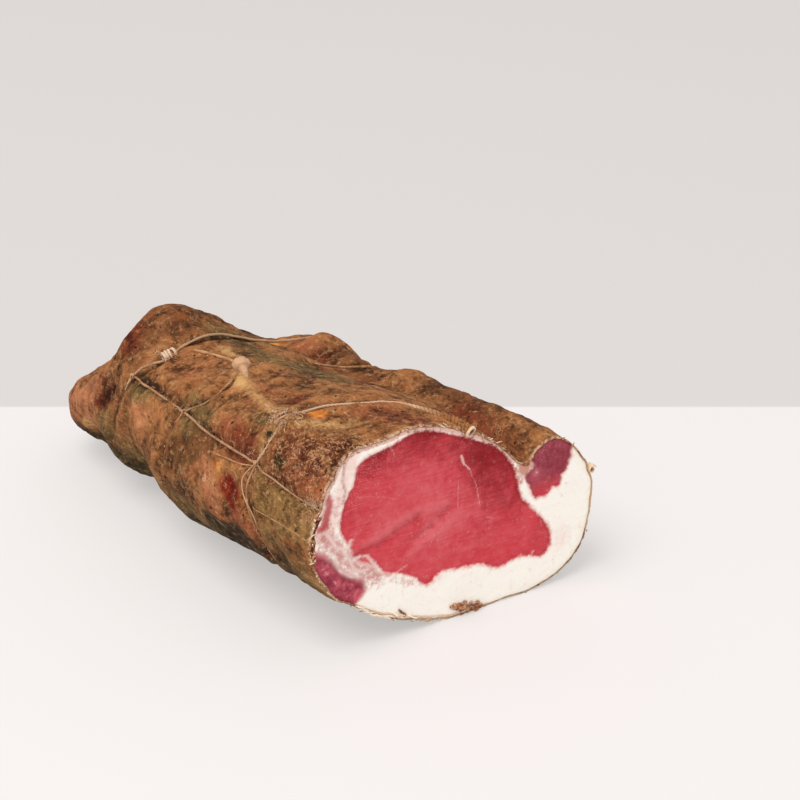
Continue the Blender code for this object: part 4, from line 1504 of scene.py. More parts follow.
@dataclass
class Twine:
    """All the twine: strands, knots and the open end at the cut.

    Attributes:
        surface: the casing.
        strands: the strands on it.
        seed: picks how the knots lie.
        unevenness: how much a strand's radius varies, as a share of it.
        lobes: depth of the grooves between its plies, as a share of its radius.
        dried_over: how far brown tissue covers it in places, from 0 to 1.
        bundle: the shapes made so far.
    """

    surface: Surface
    strands: Strands
    seed: int = 5
    unevenness: float = 0.14
    lobes: float = 0.09
    dried_over: float = 0.42
    bundle: Bundle = field(default_factory=lambda: Bundle(("groove", "husk", "bleached", "hole")))

    def strand(self, name: str) -> None:
        """Add one strand.

        Args:
            name: its name among the routes.
        """
        route, path = ROUTES[name], self.strands.paths[name]
        radii = route.radii(path) * (1 + self.unevenness * lumps(path, 2.4, 2, 8.0))
        husk = route.swollen(path)
        if route.wear is Wear.BURIED:
            husk = np.maximum(husk * 0.4, 0.3)
        elif route.bleached < 0.5:
            husk = np.maximum(husk, self.dried_over * smoothstep(-0.3, 0.4, lumps(path, 8.0, 2, 41.0)))
        thread = route.wear is Wear.THREAD
        lobes = self.lobes if route.wear is Wear.COTTON else 0.0
        sides = 8 if thread else 12
        shape = Tube(path, radii, route.closed, sides, lobes, capped=not route.hollow).shape()
        owner, away = PointTree(path).nearest(coordinates(shape))
        groove = 1 - smoothstep(1 - self.lobes, 1 + self.lobes * 0.6, away / radii[owner])
        masks = {"groove": groove * (0.5 if thread else 1.0), "husk": husk[owner],
                 "bleached": np.full(len(owner), route.bleached), "hole": np.zeros(len(owner))}
        if route.hollow:
            masks = self._open_end(shape, path, masks)
        self.bundle.add(shape, **masks)

    @staticmethod
    def _open_end(shape: BMesh, path: Array, masks: dict[str, Array]) -> dict[str, Array]:
        """Give a strand's last end a pale lip round a hole painted dark as shade, and close its first end.

        Args:
            shape: the strand, open at both ends.
            path: its centre line.
            masks: the masks of its vertices.

        Returns:
            The masks with the new vertices'.
        """
        tip, way = Vector(path[-1]), Vector(unit(path[-1] - path[-4]))
        open_edges = [e for e in shape.edges if e.is_boundary]
        edges = [e for e in open_edges if (e.verts[0].co - tip).length < OPEN_END_REACH]
        bmesh.ops.contextual_create(shape, geom=[e for e in open_edges if e not in edges])
        for wider, ahead, lip, hole in OPEN_END:
            verts, edges = extruded(shape, edges)
            centre = sum((v.co for v in verts), Vector()) / len(verts)
            for vertex in verts:
                vertex.co = centre + (vertex.co - centre) * wider + way * ahead
            added = {"groove": 0.0, "husk": 0.35 * (1 - lip), "bleached": lip, "hole": hole}
            for name, value in added.items():
                masks[name] = np.concatenate([masks[name], np.full(len(verts), value)])
        bmesh.ops.contextual_create(shape, geom=edges)
        turned_outwards(shape)
        return masks

    def wraps(self, centre: Point, along: Point, radius: float, count: int, spacing: float,
              thickness: float, bleached: float) -> None:
        """Turns of twine side by side round a strand.

        Args:
            centre: the knot's place on the casing.
            along: another point of the strand that they go round.
            radius: the turns' radius, mm.
            count: how many turns.
            spacing: distance between turns, mm.
            thickness: the twine's radius, mm.
            bleached: how pale they are.
        """
        place, outward = self.surface.nearest(centre)
        way = np.array(along, float) - place
        way = unit(way - outward * float(way @ outward))
        side = np.cross(way, outward)
        draw = random.Random(self.seed + count)
        for k in range(count):
            middle = place + way * spacing * (k - (count - 1) / 2) + outward * radius * 0.45
            lean_over = draw.uniform(-0.25, 0.25)
            size = radius * draw.uniform(0.92, 1.08)
            angles = np.linspace(0, 2 * np.pi, 22, endpoint=False)
            ring = np.array([middle + size * (math.cos(a) * outward * 0.85
                                              + math.sin(a) * (side + way * lean_over)) for a in angles])
            self.ring(ring, thickness, bleached)

    def ring(self, points: Array, thickness: float, bleached: float) -> None:
        """Add a closed turn of twine through points, with its radius in mm and how pale it is."""
        tube = Tube(points, np.full(len(points), thickness), True, 9, self.lobes, 2.4)
        self.bundle.add(tube.shape(), bleached=bleached)

    def ball(self) -> None:
        """The pale round knot."""
        place, outward = self.surface.nearest(MIDDLE_BALL)
        bm = bmesh.new()
        bmesh.ops.create_icosphere(bm, subdivisions=4, radius=3.1)
        places = coordinates(bm)
        swirl = places @ np.array((0.5, 0.8, 0.35))
        turns = np.sin(swirl * 4.5 + lumps(places, 3, 1, 2.0) * 3)
        bumps = 1 + 0.07 * lumps(places, 1.6, 3, 9.0) + 0.035 * turns
        places = places * bumps[:, None] * (1.0, 1.0, 0.92) + place + outward * 1.2
        move_to(bm, places)
        # Its dips get painted shade through the groove mask.
        self.bundle.add(bm, bleached=0.32, groove=0.3 * (1 - bumps) / 0.1)

    def loop(self, centre: Array, across: Array, up: Array, thickness: float,
             bleached: float) -> None:
        """One loop of twine.

        Args:
            centre: its middle.
            across: half of its width, as a vector.
            up: half of its height, as a vector.
            thickness: the twine's radius, mm.
            bleached: how pale it is.
        """
        angles = np.linspace(0, 2 * np.pi, 24, endpoint=False)[:, None]
        ring = centre + np.cos(angles) * across + np.sin(angles) * up
        ring = ring + 0.25 * np.stack([lumps(ring, 1.5, 2, seed) for seed in (1.0, 2.0, 3.0)], axis=1)
        self.ring(ring, thickness, bleached)

    def tangle(self) -> None:
        """The frayed knot: a few loops and many curled ends."""
        draw = random.Random(self.seed)
        place, outward = self.surface.nearest(FRONT_TANGLE)
        along, side = np.array((1.0, 0.15, 0.1)), np.array((-0.1, 0.9, 0.35))
        for shift, width, height, thickness in LOOPS:
            across = unit(side + along * draw.uniform(-0.6, 0.6)) * width
            up = unit(outward + along * draw.uniform(-0.5, 0.5)) * height * 0.7
            self.loop(place + along * shift + side * draw.uniform(-0.8, 0.8) + outward * 0.3, across, up,
                      thickness, draw.uniform(0.0, 0.5))
        for _ in range(80):
            points = [place + scattered(draw, 5.5, 3.5, 1)]
            way = unit(scattered(draw, 1, 1, 0.4))
            for _ in range(5):
                way = unit(way + scattered(draw, 0.65, 0.65, 0.65))
                points.append(points[-1] + way * draw.uniform(0.6, 1.2))
            feet, ways = self.surface.feet(points)
            rise = np.array([draw.uniform(0.1, 1.2) for _ in points])
            path = respaced(smooth_curve(feet + ways * rise[:, None], 6, False), 0.35, False)
            size = draw.choice((0.07, 0.09, 0.12, 0.18))
            self.bundle.add(Tube(path, np.full(len(path), size), False, 5).shape(),
                            bleached=draw.uniform(0.0, 0.7), husk=draw.choice((0.0, 0.3, 0.6)))

    def build(self, material: Material) -> Object:
        """Make the piece."""
        for name in ROUTES:
            self.strand(name)
        for row in WRAPS:
            self.wraps(*row)
        self.ball()
        self.tangle()
        return as_piece("tied_twine", self.bundle.bm, material, self.bundle.masks(), ["twine"])


# The cut


class Tissue(Enum):
    """What shows at the cut, with the solid that each stands for."""

    FAT = "fat"
    EYE = "lean_eye"
    LOBE = "lean_lobe"
    CORNER = "lean_corner"


LEAN_OUTLINES = {
    Tissue.EYE: (
        (30, 69.4), (40, 71.8), (50, 69), (61, 64), (70, 59), (76.8, 52.3), (79.6, 45.5), (81.8, 37.6),
        (88, 30), (94, 22), (94.5, 15), (90, 12.5), (82, 15), (73, 13.5), (65, 17), (56, 18), (50, 19),
        (44, 15.5), (39, 20), (33, 23.5), (28, 24.5), (24, 29), (17, 33), (14, 39), (11, 45), (12, 53),
        (16, 60), (19, 67)),
    Tissue.LOBE: (
        (99, 60), (103, 54), (102, 46), (100, 41.5), (98.6, 40.5), (97.6, 37), (95, 37.4), (92.8, 35.2),
        (90.2, 34.9), (87.6, 35.6), (85.6, 39.5), (83.6, 44), (86.6, 47), (85.2, 51.5), (90, 57),
        (94, 61)),
    Tissue.CORNER: (
        (-5, 40), (3, 39.5), (7, 36), (13, 29), (19, 25), (19.5, 20.5), (12, 15), (3, 18), (-6, 30)),
}
# What is drawn on the cut: rows as patches() reads them, of places y and z
LONG_FURROW = ((17, 34), (25, 36), (32, 38.5), (40, 41))
LONG_RIDGE = ((16.9, 37.0), (25.4, 38.5), (34.8, 41.5), (41.2, 43.4), (50.8, 43.6))
SHORT_FURROW = ((38, 32.5), (46, 37), (52, 40.5))
SHORT_RIDGE = ((38.0, 29.5), (42.8, 32.0), (47.6, 34.0), (56, 37.2))
FURROWS = patches((*LONG_FURROW, 2.3, -0.55), (*LONG_RIDGE, 2.0, 0.3), (*SHORT_FURROW, 2.3, -0.5),
                  (*SHORT_RIDGE, 2.0, 0.28))
VEINS = patches(
    ((57.4, 58.6), (58.4, 55.6), 0.65, 1.1), ((58.4, 55.6), (60.7, 53), 0.45, 1),
    ((60.7, 53), (62.4, 48.9), (63.7, 45.6), (64.6, 40.8), (65.1, 38.5), 0.3, 0.8),
    ((55.9, 51.4), (56.4, 46.9), (56.3, 40.2), 0.3, 0.7),
    ((17.1, 55), (22.4, 53.9), (28.6, 51.7), (32.5, 49.9), 0.4, 0.55),
    ((22.9, 47.4), (18.4, 43.2), (14.8, 39.6), 0.6, 0.42),
    ((31.7, 23.7), (33.6, 24.5), (36, 25.3), 0.6, 0.7),
    ((86.8, 14.9), (88.1, 15.1), (86.9, 13.8), 0.5, 0.8),
    ((28.6, 70.3), (30.5, 68), (31.3, 65.7), 0.35, 0.7), ((47, 33.5), (45, 29.5), 0.35, 0.6),
    ((44.2, 35.6), (42, 33.8), 0.8, 0.5), ((60.5, 63), (62, 60.5), 0.3, 0.5))
WHITE_STRANDS = patches(
    ((2.9, 45.8), (5.1, 46.4), (7.3, 43.2), (9, 39.8), (11.4, 38.6), (13.9, 38.7), (14.8, 40.6), 0.9, 1),
    ((11.4, 38.6), (13.4, 35.1), (14.7, 33), (18.3, 33.6), (20.6, 33.3), (22.4, 31.1), (24.6, 28.2),
     0.9, 1),
    ((8.9, 34.3), (9.8, 31.9), (12, 29.5), (14.6, 27.8), (17.3, 26.6), 0.8, 0.9),
    ((14.7, 33), (15.6, 30.1), (18.3, 28.4), (21, 28.5), 0.7, 0.9),
    ((24, 27), (27.7, 25.2), (31, 23), (34.8, 21.4), (38, 19.4), 0.7, 0.75),
    ((44.5, 14.8), (48, 16.8), (51, 18.2), (55, 18.4), 0.6, 0.7))
MUSCLE_FLECKS = patches(
    ((4.5, 33.5), (6, 31), 0.4, 0.55), ((8.2, 28), (9.6, 26), 0.35, 0.5),
    ((1.6, 33), (1.9, 29.6), 0.35, 0.5), ((11, 23.4), (13.2, 21.6), 0.35, 0.55),
    ((4.4, 25.5), (5.4, 23.6), 0.3, 0.45), ((85.6, 49.6), (88.4, 44.4), 0.8, 0.5),
    ((93.6, 57.2), (95.8, 53.6), 0.45, 0.5), ((98, 50), (98.6, 46.4), 0.35, 0.4))
# Masks of which the strongest patch counts
CUT_LINES = {
    "vein": VEINS,
    "strand": (*WHITE_STRANDS, *MUSCLE_FLECKS),
    "marble": patches(((3.4, 47), (10, 38), (17, 31), (25, 26), 5, 1.0), ((30, 23), (38, 18), 2.6, 0.55),
                      ((10, 57), (10.5, 48), 2.0, 0.5)),
    "strip": patches(((6.6, 57.8), (6.6, 54.5), (5.6, 50.7), (4.3, 46.9), 1.9, 1.1)),
    "film": patches(((13.8, 69.8), (12.4, 66.1), (11.9, 62.1), (12.8, 58.6), (11.8, 54.7), 0.85, 0.8)),
    "soft": patches(((0, 40), (6, 36), (12, 30), (18, 25), 5.0, 1.0)),
}
# Masks of which the patches add up
CUT_SPOTS = {
    "pale": patches(
        ((45, 50), 12, 0.35), ((30, 58), 10, 0.1), ((24, 44), 7, 0.25), ((48, 32), 9, 0.2),
        ((60, 36), 9, 0.3), ((88, 44), 2.5, 0.8), ((36, 26), 6, 0.2), ((44, 34.5), 3, 0.4),
        # The ridges beside the furrows are paler: partly the muscle's paler bands, partly painted
        # highlight on the ridges.
        ((30, 40), 4, 0.25), ((99, 56), 4, 0.6), (*LONG_RIDGE, 2.2, 0.5), (*SHORT_RIDGE, 2.0, 0.45)),
    "dark": patches(
        ((71, 50), 11, 0.8), ((62, 62), 9, 0.75), ((22, 66), 7, 0.6), ((15, 50), 6, 0.3),
        ((45, 70), 10, 0.7), ((91, 19), 6, 0.3), ((78, 36), 8, 0.4), ((33, 67), 7, 0.4),
        # The furrows are darker: partly the muscle's darker bands, partly painted shade in the furrows.
        ((66, 29), 7, 0.2), ((99, 56), 6, 0.4), (*LONG_FURROW, 2.4, 0.35), (*SHORT_FURROW, 2.4, 0.3)),
    "blush": patches(
        ((99, 17), 7, 0.5), ((20, 12), 8, 0.15), ((104, 34), 6, 0.2), ((60, 12), 8, 0.25),
        ((48, 17), 3, 0.4), ((15, 69), (12, 60), (9, 52), (6, 46), 4.0, 0.75)),
    "salt": patches(
        ((20, 64), 7, 1.0), ((14, 55), 5, 0.8), ((30, 69), 6, 0.7), ((60, 65), 6, 0.5), ((8, 33), 7, 0.15),
        ((90, 54), 6, 0.7)),
    "stain": patches(
        ((80.5, 48.5), 2.6, 1.2), ((81.4, 43.5), 1.8, 0.9), ((84.0, 47.0), 2.4, 1.2),
        ((10, 60), 1.5, 0.3)),
}


@dataclass
class CutFace:
    """The cut end: fat, eye muscle, lobe and corner muscle, each with its own piece.

    Attributes:
        rim: the casing's outer edge.
        step: width of the face's mesh, mm.
        tuck: how far inside the casing's outer edge the meat ends, mm.
        depth: thickness of the finely meshed front, mm.
        sunk: how far the lean has dried below the fat, mm.
        outlines: the edge of each lean.
        edge: the edge of the meat.
    """

    rim: Outline
    step: float = 0.45
    tuck: float = 0.3
    depth: float = 1.7
    sunk: float = 0.28
    outlines: dict[Tissue, Outline] = field(init=False)
    edge: Outline = field(init=False)

    def __post_init__(self) -> None:
        """Lay out the outlines."""
        self.outlines = {tissue: Outline(smooth_curve(points, 12, True))
                         for tissue, points in LEAN_OUTLINES.items()}
        self.edge = self.rim.shrunk(self.tuck)

    def grid(self) -> BMesh:
        """A fine grid over the cut, bent to the outlines and trimmed at the casing."""
        low, high = self.edge.loop.min(0) - self.step, self.edge.loop.max(0) + self.step
        across, up = (int(round(size / self.step)) for size in high - low)
        bm = bmesh.new()
        lie_on_cut = Matrix(((0, 0, 1, 0), (1, 0, 0, 0), (0, 1, 0, 0), (0, 0, 0, 1)))
        stretch = Matrix.Diagonal((*high - low, 1, 1))
        matrix = Matrix.Translation((0, *(low + high) / 2)) @ lie_on_cut @ stretch
        bmesh.ops.create_grid(bm, x_segments=across, y_segments=up, size=0.5, matrix=matrix)
        places = coordinates(bm)[:, 1:]
        closest = np.full(len(places), 0.5 * self.step)
        feet, owner, sides = places.copy(), np.full(len(places), -1), []
        for k, outline in enumerate((self.edge, *self.outlines.values())):
            foot, distance = outline.nearest(places)
            near = np.abs(distance) < closest
            feet[near], owner[near] = foot[near], k
            closest = np.where(near, np.abs(distance), closest)
            sides.append(np.sign(distance))
        for vertex, foot in zip(bm.verts, feet):
            vertex.co.y, vertex.co.z = foot
        bm.verts.index_update()
        for face in list(bm.faces):
            corners = face.verts[:]
            for a, b in ((0, 2), (1, 3)):
                first, second = corners[a].index, corners[b].index
                k = owner[first]
                if k < 0 or owner[second] != k:
                    continue
                others = [corners[(a + 1) % 4].index, corners[(b + 1) % 4].index]
                if any(owner[o] == k for o in others) or sides[k][others[0]] == sides[k][others[1]]:
                    continue
                bmesh.utils.face_split(face, corners[a], corners[b])
                break
        return bm

    def tissues(self, bm: BMesh) -> dict[Tissue, BMesh]:
        """The grid's faces sorted by what shows there.

        Args:
            bm: the grid, which is freed.

        Returns:
            A mesh of each tissue's faces, turned to the front.
        """
        bm.faces.ensure_lookup_table()
        centres = np.array([f.calc_center_median()[1:] for f in bm.faces])
        kept = self.edge.inside(centres)
        label = np.zeros(len(centres), int)
        for k, tissue in enumerate(list(Tissue)[1:], 1):
            label[self.outlines[tissue].inside(centres)] = k
        found = {}
        for k, tissue in enumerate(Tissue):
            part = bm.copy()
            part.faces.ensure_lookup_table()
            dropped = [part.faces[i] for i in np.flatnonzero(~kept | (label != k))]
            bmesh.ops.delete(part, geom=dropped, context="FACES")
            bmesh.ops.recalc_face_normals(part, faces=part.faces)
            if sum(f.normal.x for f in part.faces) < 0:
                bmesh.ops.reverse_faces(part, faces=part.faces)
            found[tissue] = part
        bm.free()
        return found

    def lean_depth(self, places: Array) -> tuple[Array, Array]:
        """Distance inside the nearest lean, negative outside, and which it is, 0 for the eye."""
        depths = np.array([outline.nearest(places)[1] for outline in self.outlines.values()])
        return depths.max(0), depths.argmax(0)

    def relief(self, places: Array) -> Array:
        """How far the cut stands behind its plane.

        Args:
            places: y and z of each place.

        Returns:
            The x of each, mm.
        """
        lean, _ = self.lean_depth(places)
        _, from_edge = self.edge.nearest(places)
        points = flat(places)
        height = -self.sunk * smoothstep(-0.5, 0.7, lean)
        height += 0.12 * lumps(points, 9, 2, 11.0) + 0.05 * lumps(points, 2.2, 3, 12.0)
        height -= 0.45 * np.exp(-np.maximum(from_edge, 0) / 0.8)
        height -= 0.3 * self.gap(places, from_edge)
        height += summed(FURROWS, places) + 0.1 * strongest(VEINS, places)
        height += 0.16 * strongest(WHITE_STRANDS, places)
        return np.minimum(height, 0.25) - 0.25

    @staticmethod
    def gap(places: Array, from_edge: Array) -> Array:
        """Where the casing has come off the meat, at the left edge.

        Args:
            places: y and z of each place.
            from_edge: how far inside the meat's edge each is, mm.

        Returns:
            From 0 to 1 for each.
        """
        width = 1.5 + 0.9 * lumps(flat(places), 4.0, 2, 31.0)
        beside = smoothstep(0.35, -0.2, from_edge - width) * (places[:, 0] < 15)
        return beside * smoothstep(34.5, 37.5, places[:, 1]) * smoothstep(53.5, 50.5, places[:, 1])

    def masks(self, places: Array) -> dict[str, Array]:
        """What the cut's material reads.

        Args:
            places: y and z of each vertex.

        Returns:
            The masks.
        """
        lean, which = self.lean_depth(places)
        _, from_edge = self.edge.nearest(places)
        y, z = places.T
        found = {name: strongest(rows, places) for name, rows in CUT_LINES.items()}
        found |= {name: summed(rows, places) for name, rows in CUT_SPOTS.items()}
        found["dark"] += 0.3 * smoothstep(2.2, 0.3, lean)
        found["dark"] *= 1.0 + 0.3 * lumps(flat(places), 6.0, 2, 14.0)
        found["skin"] = smoothstep(2.1, 0.8, from_edge) * smoothstep(55, 61, z + y * 0.1)
        found["skin"] *= smoothstep(84, 76, y)
        found["crust"] = smoothstep(18, 8, z) * smoothstep(75, 60, y)
        found["wine"] = np.where(which == 1, smoothstep(34, 44, z), 0.0) * 0.95
        found["plum"] = np.where(which == 2, 1.0, 0.0)
        return found | {"lean": lean, "edge": np.maximum(from_edge, 0), "gap": self.gap(places, from_edge)}

    def front(self, part: BMesh) -> None:
        """Give a tissue's fine front its relief, its sides and its back.

        Args:
            part: the front's faces, which become a closed mesh.
        """
        places = coordinates(part)
        places[:, 0] = self.relief(places[:, 1:])
        move_to(part, places)
        rim = [e for e in part.edges if e.is_boundary]
        for edge in rim:
            edge.smooth = False
        verts, back = extruded(part, rim)
        for vertex in verts:
            vertex.co.x = -self.depth
        bmesh.ops.triangle_fill(part, edges=back, use_beauty=True)
        turned_outwards(part)

    def rest(self, tissue: Tissue) -> BMesh:
        """The tissue's solid behind its fine front.

        Args:
            tissue: which one.

        Returns:
            A closed mesh.
        """
        bm = SPACE.solid(tissue.value)
        whole = [*bm.verts, *bm.edges, *bm.faces]
        cut = bmesh.ops.bisect_plane(bm, geom=whole, plane_co=(-self.depth, 0, 0), plane_no=(1, 0, 0),
                                     clear_outer=True)["geom_cut"]
        bmesh.ops.triangle_fill(bm, edges=[g for g in cut if isinstance(g, BMEdge)], use_beauty=True)
        turned_outwards(bm)
        return bm

    def build(self, material: Material) -> list[Object]:
        """Make the four pieces."""
        made = []
        for tissue, part in self.tissues(self.grid()).items():
            self.front(part)
            add_to(part, self.rest(tissue))
            masks = self.masks(coordinates(part)[:, 1:])
            node = tissue.value
            made.append(as_piece("cut_" + node, part, material, masks, [node]))
        return made


# What is loose at the rim and on the skin
# Tufts of hairs, as Fibres.tuft reads them
TUFTS = (
    ((-3, 3, 55), 2.5, 60, 4.5, 1.0, (-1.0, 0.0, 0.7)), ((-3, 1, 51), 3.0, 40, 2.5, 0.5),
    (FRONT_TANGLE, 6.0, 120, 3.5, 1.2), ((-14, 8, 66), 15.0, 130, 2.0, 0.3),
    (FRONT_CROSSING, 6.0, 30, 3.0, 0.4), (FAR_WRAPS, 5.0, 60, 3.0, 1.0), (MIDDLE_BALL, 6.0, 40, 3.0, 0.6),
)


@dataclass
class Fibres:
    """Loose hairs of dried tissue and cotton.

    Attributes:
        surface: the casing.
        seed: picks their places.
        thickness: a hair's radius, mm.
        points: points along a hair.
        lines: the hairs made so far.
    """

    surface: Surface
    seed: int = 11
    thickness: float = 0.05
    points: int = 7
    lines: list[Array] = field(default_factory=list)

    def tuft(self, centre: Point, reach: float, count: int, length: float, lift: float,
             way: Point | None = None) -> None:
        """Hairs round a place on the casing.

        Args:
            centre: the place.
            reach: how far from it they start, mm.
            count: how many.
            length: their longest length, mm.
            lift: how far they stand up at most, mm.
            way: where they point, or none for all ways.
        """
        draw = random.Random(self.seed + len(self.lines))
        for _ in range(count):
            place, outward = self.surface.nearest([c + draw.gauss(0, reach * 0.5) for c in centre])
            if place[0] > -0.3:
                continue
            ahead = np.array([draw.gauss(0, 1) for _ in range(3)])
            if way is not None:
                ahead = unit(ahead) * 0.7 + unit(np.array(way, float))
            step = draw.uniform(0.35, 1.0) * length / self.points
            rise, line = draw.uniform(0.2, 1.0) * lift, []
            bend = np.array([draw.gauss(0, 0.25) for _ in range(3)])
            for k in range(self.points):
                foot, outward = self.surface.nearest(place)
                hop = math.sin(math.pi * (0.12 + 0.88 * k / self.points))
                line.append(foot + outward * (self.thickness * 0.6 + rise * hop))
                ahead = unit(unit(ahead) + bend * 0.5)
                place = foot + (ahead - outward * float(ahead @ outward)) * step
            self.lines.append(np.array(line))

    def lay_all(self, strands: Strands) -> None:
        """Add the tufts, and hairs along the twine."""
        for row in TUFTS:
            self.tuft(*row)
        for path in strands.cotton():
            for place in path[::12]:
                self.tuft(tuple(place), 1.2, 2, 2.5, 0.5)

    def build(self, material: Material) -> Object:
        """Make the piece."""
        curve = new_curve("3D")
        curve.bevel_depth, curve.bevel_resolution, curve.use_fill_caps = self.thickness, 0, True
        for line in self.lines:
            add_line(curve, line, 1.15 - 0.75 * np.arange(len(line)) / len(line), False)
        bm = drawn(curve)
        bmesh.ops.recalc_face_normals(bm, faces=bm.faces)
        hue = 0.6 + 0.3 * lumps(coordinates(bm), 3.0, 1, 3.0)
        return as_piece("loose_fibres", bm, material, {"hue": hue})


# Bits at the rim, each as y, z, size and hue
CLUMP = ((55.2, 4.2, 1.3, 0.28), (57.2, 3.4, 1.7, 0.2), (59.0, 4.6, 0.9, 0.36), (60.6, 2.4, 1.5, 0.3),
         (63.2, 1.6, 1.6, 0.2), (65.2, 1.3, 1.1, 0.3), (61.8, 3.6, 0.8, 0.42), (57.8, 1.9, 0.9, 0.45),
         (64.4, 3.2, 0.7, 0.4), (53.6, 4.6, 0.7, 0.4))
GAP_BITS = ((1.6, 51.6, 0.45, 0.8), (0.9, 49.0, 0.35, 0.95), (0.2, 46.2, 0.3, 0.7), (0.5, 43.4, 0.3, 0.9),
            (1.0, 40.3, 0.35, 0.75), (1.3, 37.4, 0.3, 0.85))
# Crumbs along the rim, as RimBits.crumbs reads them
CRUMBS = ((110, (2, 52), (76, 76), (0.3, 0.9), 0.62), (70, (-6, 12), (16, 60), (0.1, 0.8), 0.55),
          (60, (16, -1), (70, 20), (0.3, 0.9), 0.7), (36, (70, -1), (113, 60), (0.1, 0.5), 0.6))
PEELED_EDGE = ((17.2, 16.1), (21.8, 12.1), (23.6, 10.6), (28.2, 8.7), (32.9, 8.2), (38.6, 5.3))


@dataclass
class RimBits:
    """Crumbs, flakes and curls of casing and fat along the rim.

    Attributes:
        rim: the casing's outer edge, y and z.
        seed: picks the crumbs' places.
        bundle: the bits made so far.
    """

    rim: Array
    seed: int = 23
    bundle: Bundle = field(default_factory=lambda: Bundle(("hue",)))

    def lump(self, centre: Point, size: Point, hue: float, turn: float = 0.0, rounds: int = 2,
             rough: float = 0.3) -> None:
        """One crumb or clump.

        Args:
            centre: its middle.
            size: its half sizes along x, along the rim and across it, mm.
            hue: from 0, brown, to 1, white.
            turn: its turn about x, radians.
            rounds: subdivisions of its ball.
            rough: how far its surface wanders, as a share of its size.
        """
        bm = bmesh.new()
        bmesh.ops.create_icosphere(bm, subdivisions=rounds, radius=1.0)
        places = coordinates(bm)
        bumps = 1 + rough * lumps(places, 0.9, 3, centre[1] + centre[2]) * 1.6
        c, s = math.cos(turn), math.sin(turn)
        places = places * bumps[:, None] * np.array(size)
        places = places @ np.array(((1, 0, 0), (0, c, s), (0, -s, c))) + np.array(centre)
        places[:, 2] = np.maximum(places[:, 2], 0.02)
        move_to(bm, places)
        self.bundle.add(bm, hue=np.clip(hue + (bumps - 1) * 0.5, 0, 1))

    def crumbs(self, count: int, low: Place, high: Place, hues: Place, size: float) -> None:
        """Crumbs at random along part of the rim.

        Args:
            count: how many.
            low: least y and z of the part.
            high: greatest y and z of the part.
            hues: range of their hues.
            size: the largest one's size, mm.
        """
        draw = random.Random(self.seed + count)
        ahead = np.roll(self.rim, -2, 0) - np.roll(self.rim, 2, 0)
        there = np.flatnonzero(((self.rim >= low) & (self.rim <= high)).all(1)).tolist()
        for _ in range(count):
            i = draw.choice(there)
            turn = math.atan2(ahead[i][1], ahead[i][0]) + draw.gauss(0, 0.5)
            y, z = self.rim[i] + np.array([draw.gauss(0, 0.3), draw.gauss(0, 0.3)])
            scale = size * draw.uniform(0.3, 1.0)**1.6
            place = (draw.uniform(-0.8, 0.0), y, z)
            self.lump(place, (scale * 0.4, scale * draw.uniform(0.8, 2.2), scale * 0.3),
                      draw.uniform(*hues), turn)

    def curl(self, centre: Point, radius: float, width: float, turns: float, hue: float,
             tilt: float) -> None:
        """A flap of casing rolled up on itself.

        Args:
            centre: its middle.
            radius: the roll's outer radius, mm.
            width: its length along x, mm.
            turns: how far it is rolled.
            hue: its hue.
            tilt: its turn about x, radians.
        """
        bm = bmesh.new()
        bmesh.ops.create_grid(bm, x_segments=10, y_segments=26, size=0.5)
        places = coordinates(bm)
        along, across = places[:, 0], places[:, 1] + 0.5
        angle = tilt + across * turns * 2 * math.pi
        reach = radius * (1 - 0.62 * across) * (1 + 0.12 * lumps(places * 9, 3.0, 2, 4.0))
        places = np.stack([along * width * (1 - 0.3 * across) + 0.3 * lumps(places * 7, 3.0, 2, 5.0),
                           reach * np.cos(angle), reach * np.sin(angle)], axis=1) + np.array(centre)
        move_to(bm, places)
        bmesh.ops.solidify(bm, geom=bm.faces, thickness=0.35)
        turned_outwards(bm)
        self.bundle.add(bm, hue=hue)

    def build(self, material: Material) -> Object:
        """Make the piece."""
        for row in CRUMBS:
            self.crumbs(*row)
        for y, z, size, hue in CLUMP:
            self.lump((0.2, y, z), (size * 0.6, size, size * 0.7), hue, 0.0, 3, 0.45)
        for y, z, size, hue in GAP_BITS:
            self.lump((-0.2, y, z), (size * 0.6, size * 0.6, size), hue, 0.3, 2, 0.4)
        for k, (y, z) in enumerate(respaced(np.array(PEELED_EDGE), 1.1, False)):
            hue, turn = 0.92 - 0.06 * (k % 3), -0.62 + 0.14 * (k % 3)
            self.lump((0.0, y, z + 0.25 * (k % 2)), (0.4, 1.7, 0.26), hue, turn, 3, 0.35)
        self.lump((0.2, 33.4, 9.3), (0.5, 1.3, 0.4), 0.22, -0.9, 3, 0.35)
        self.curl((-0.4, 34.9, 7.9), 0.8, 1.8, 1.1, 0.3, 2.0)
        self.curl((-0.6, 111.4, 39.8), 1.6, 3.0, 1.15, 0.72, 0.6)
        return as_piece("rim_flakes", self.bundle.bm, material, self.bundle.masks())


# The floor, the light and the camera


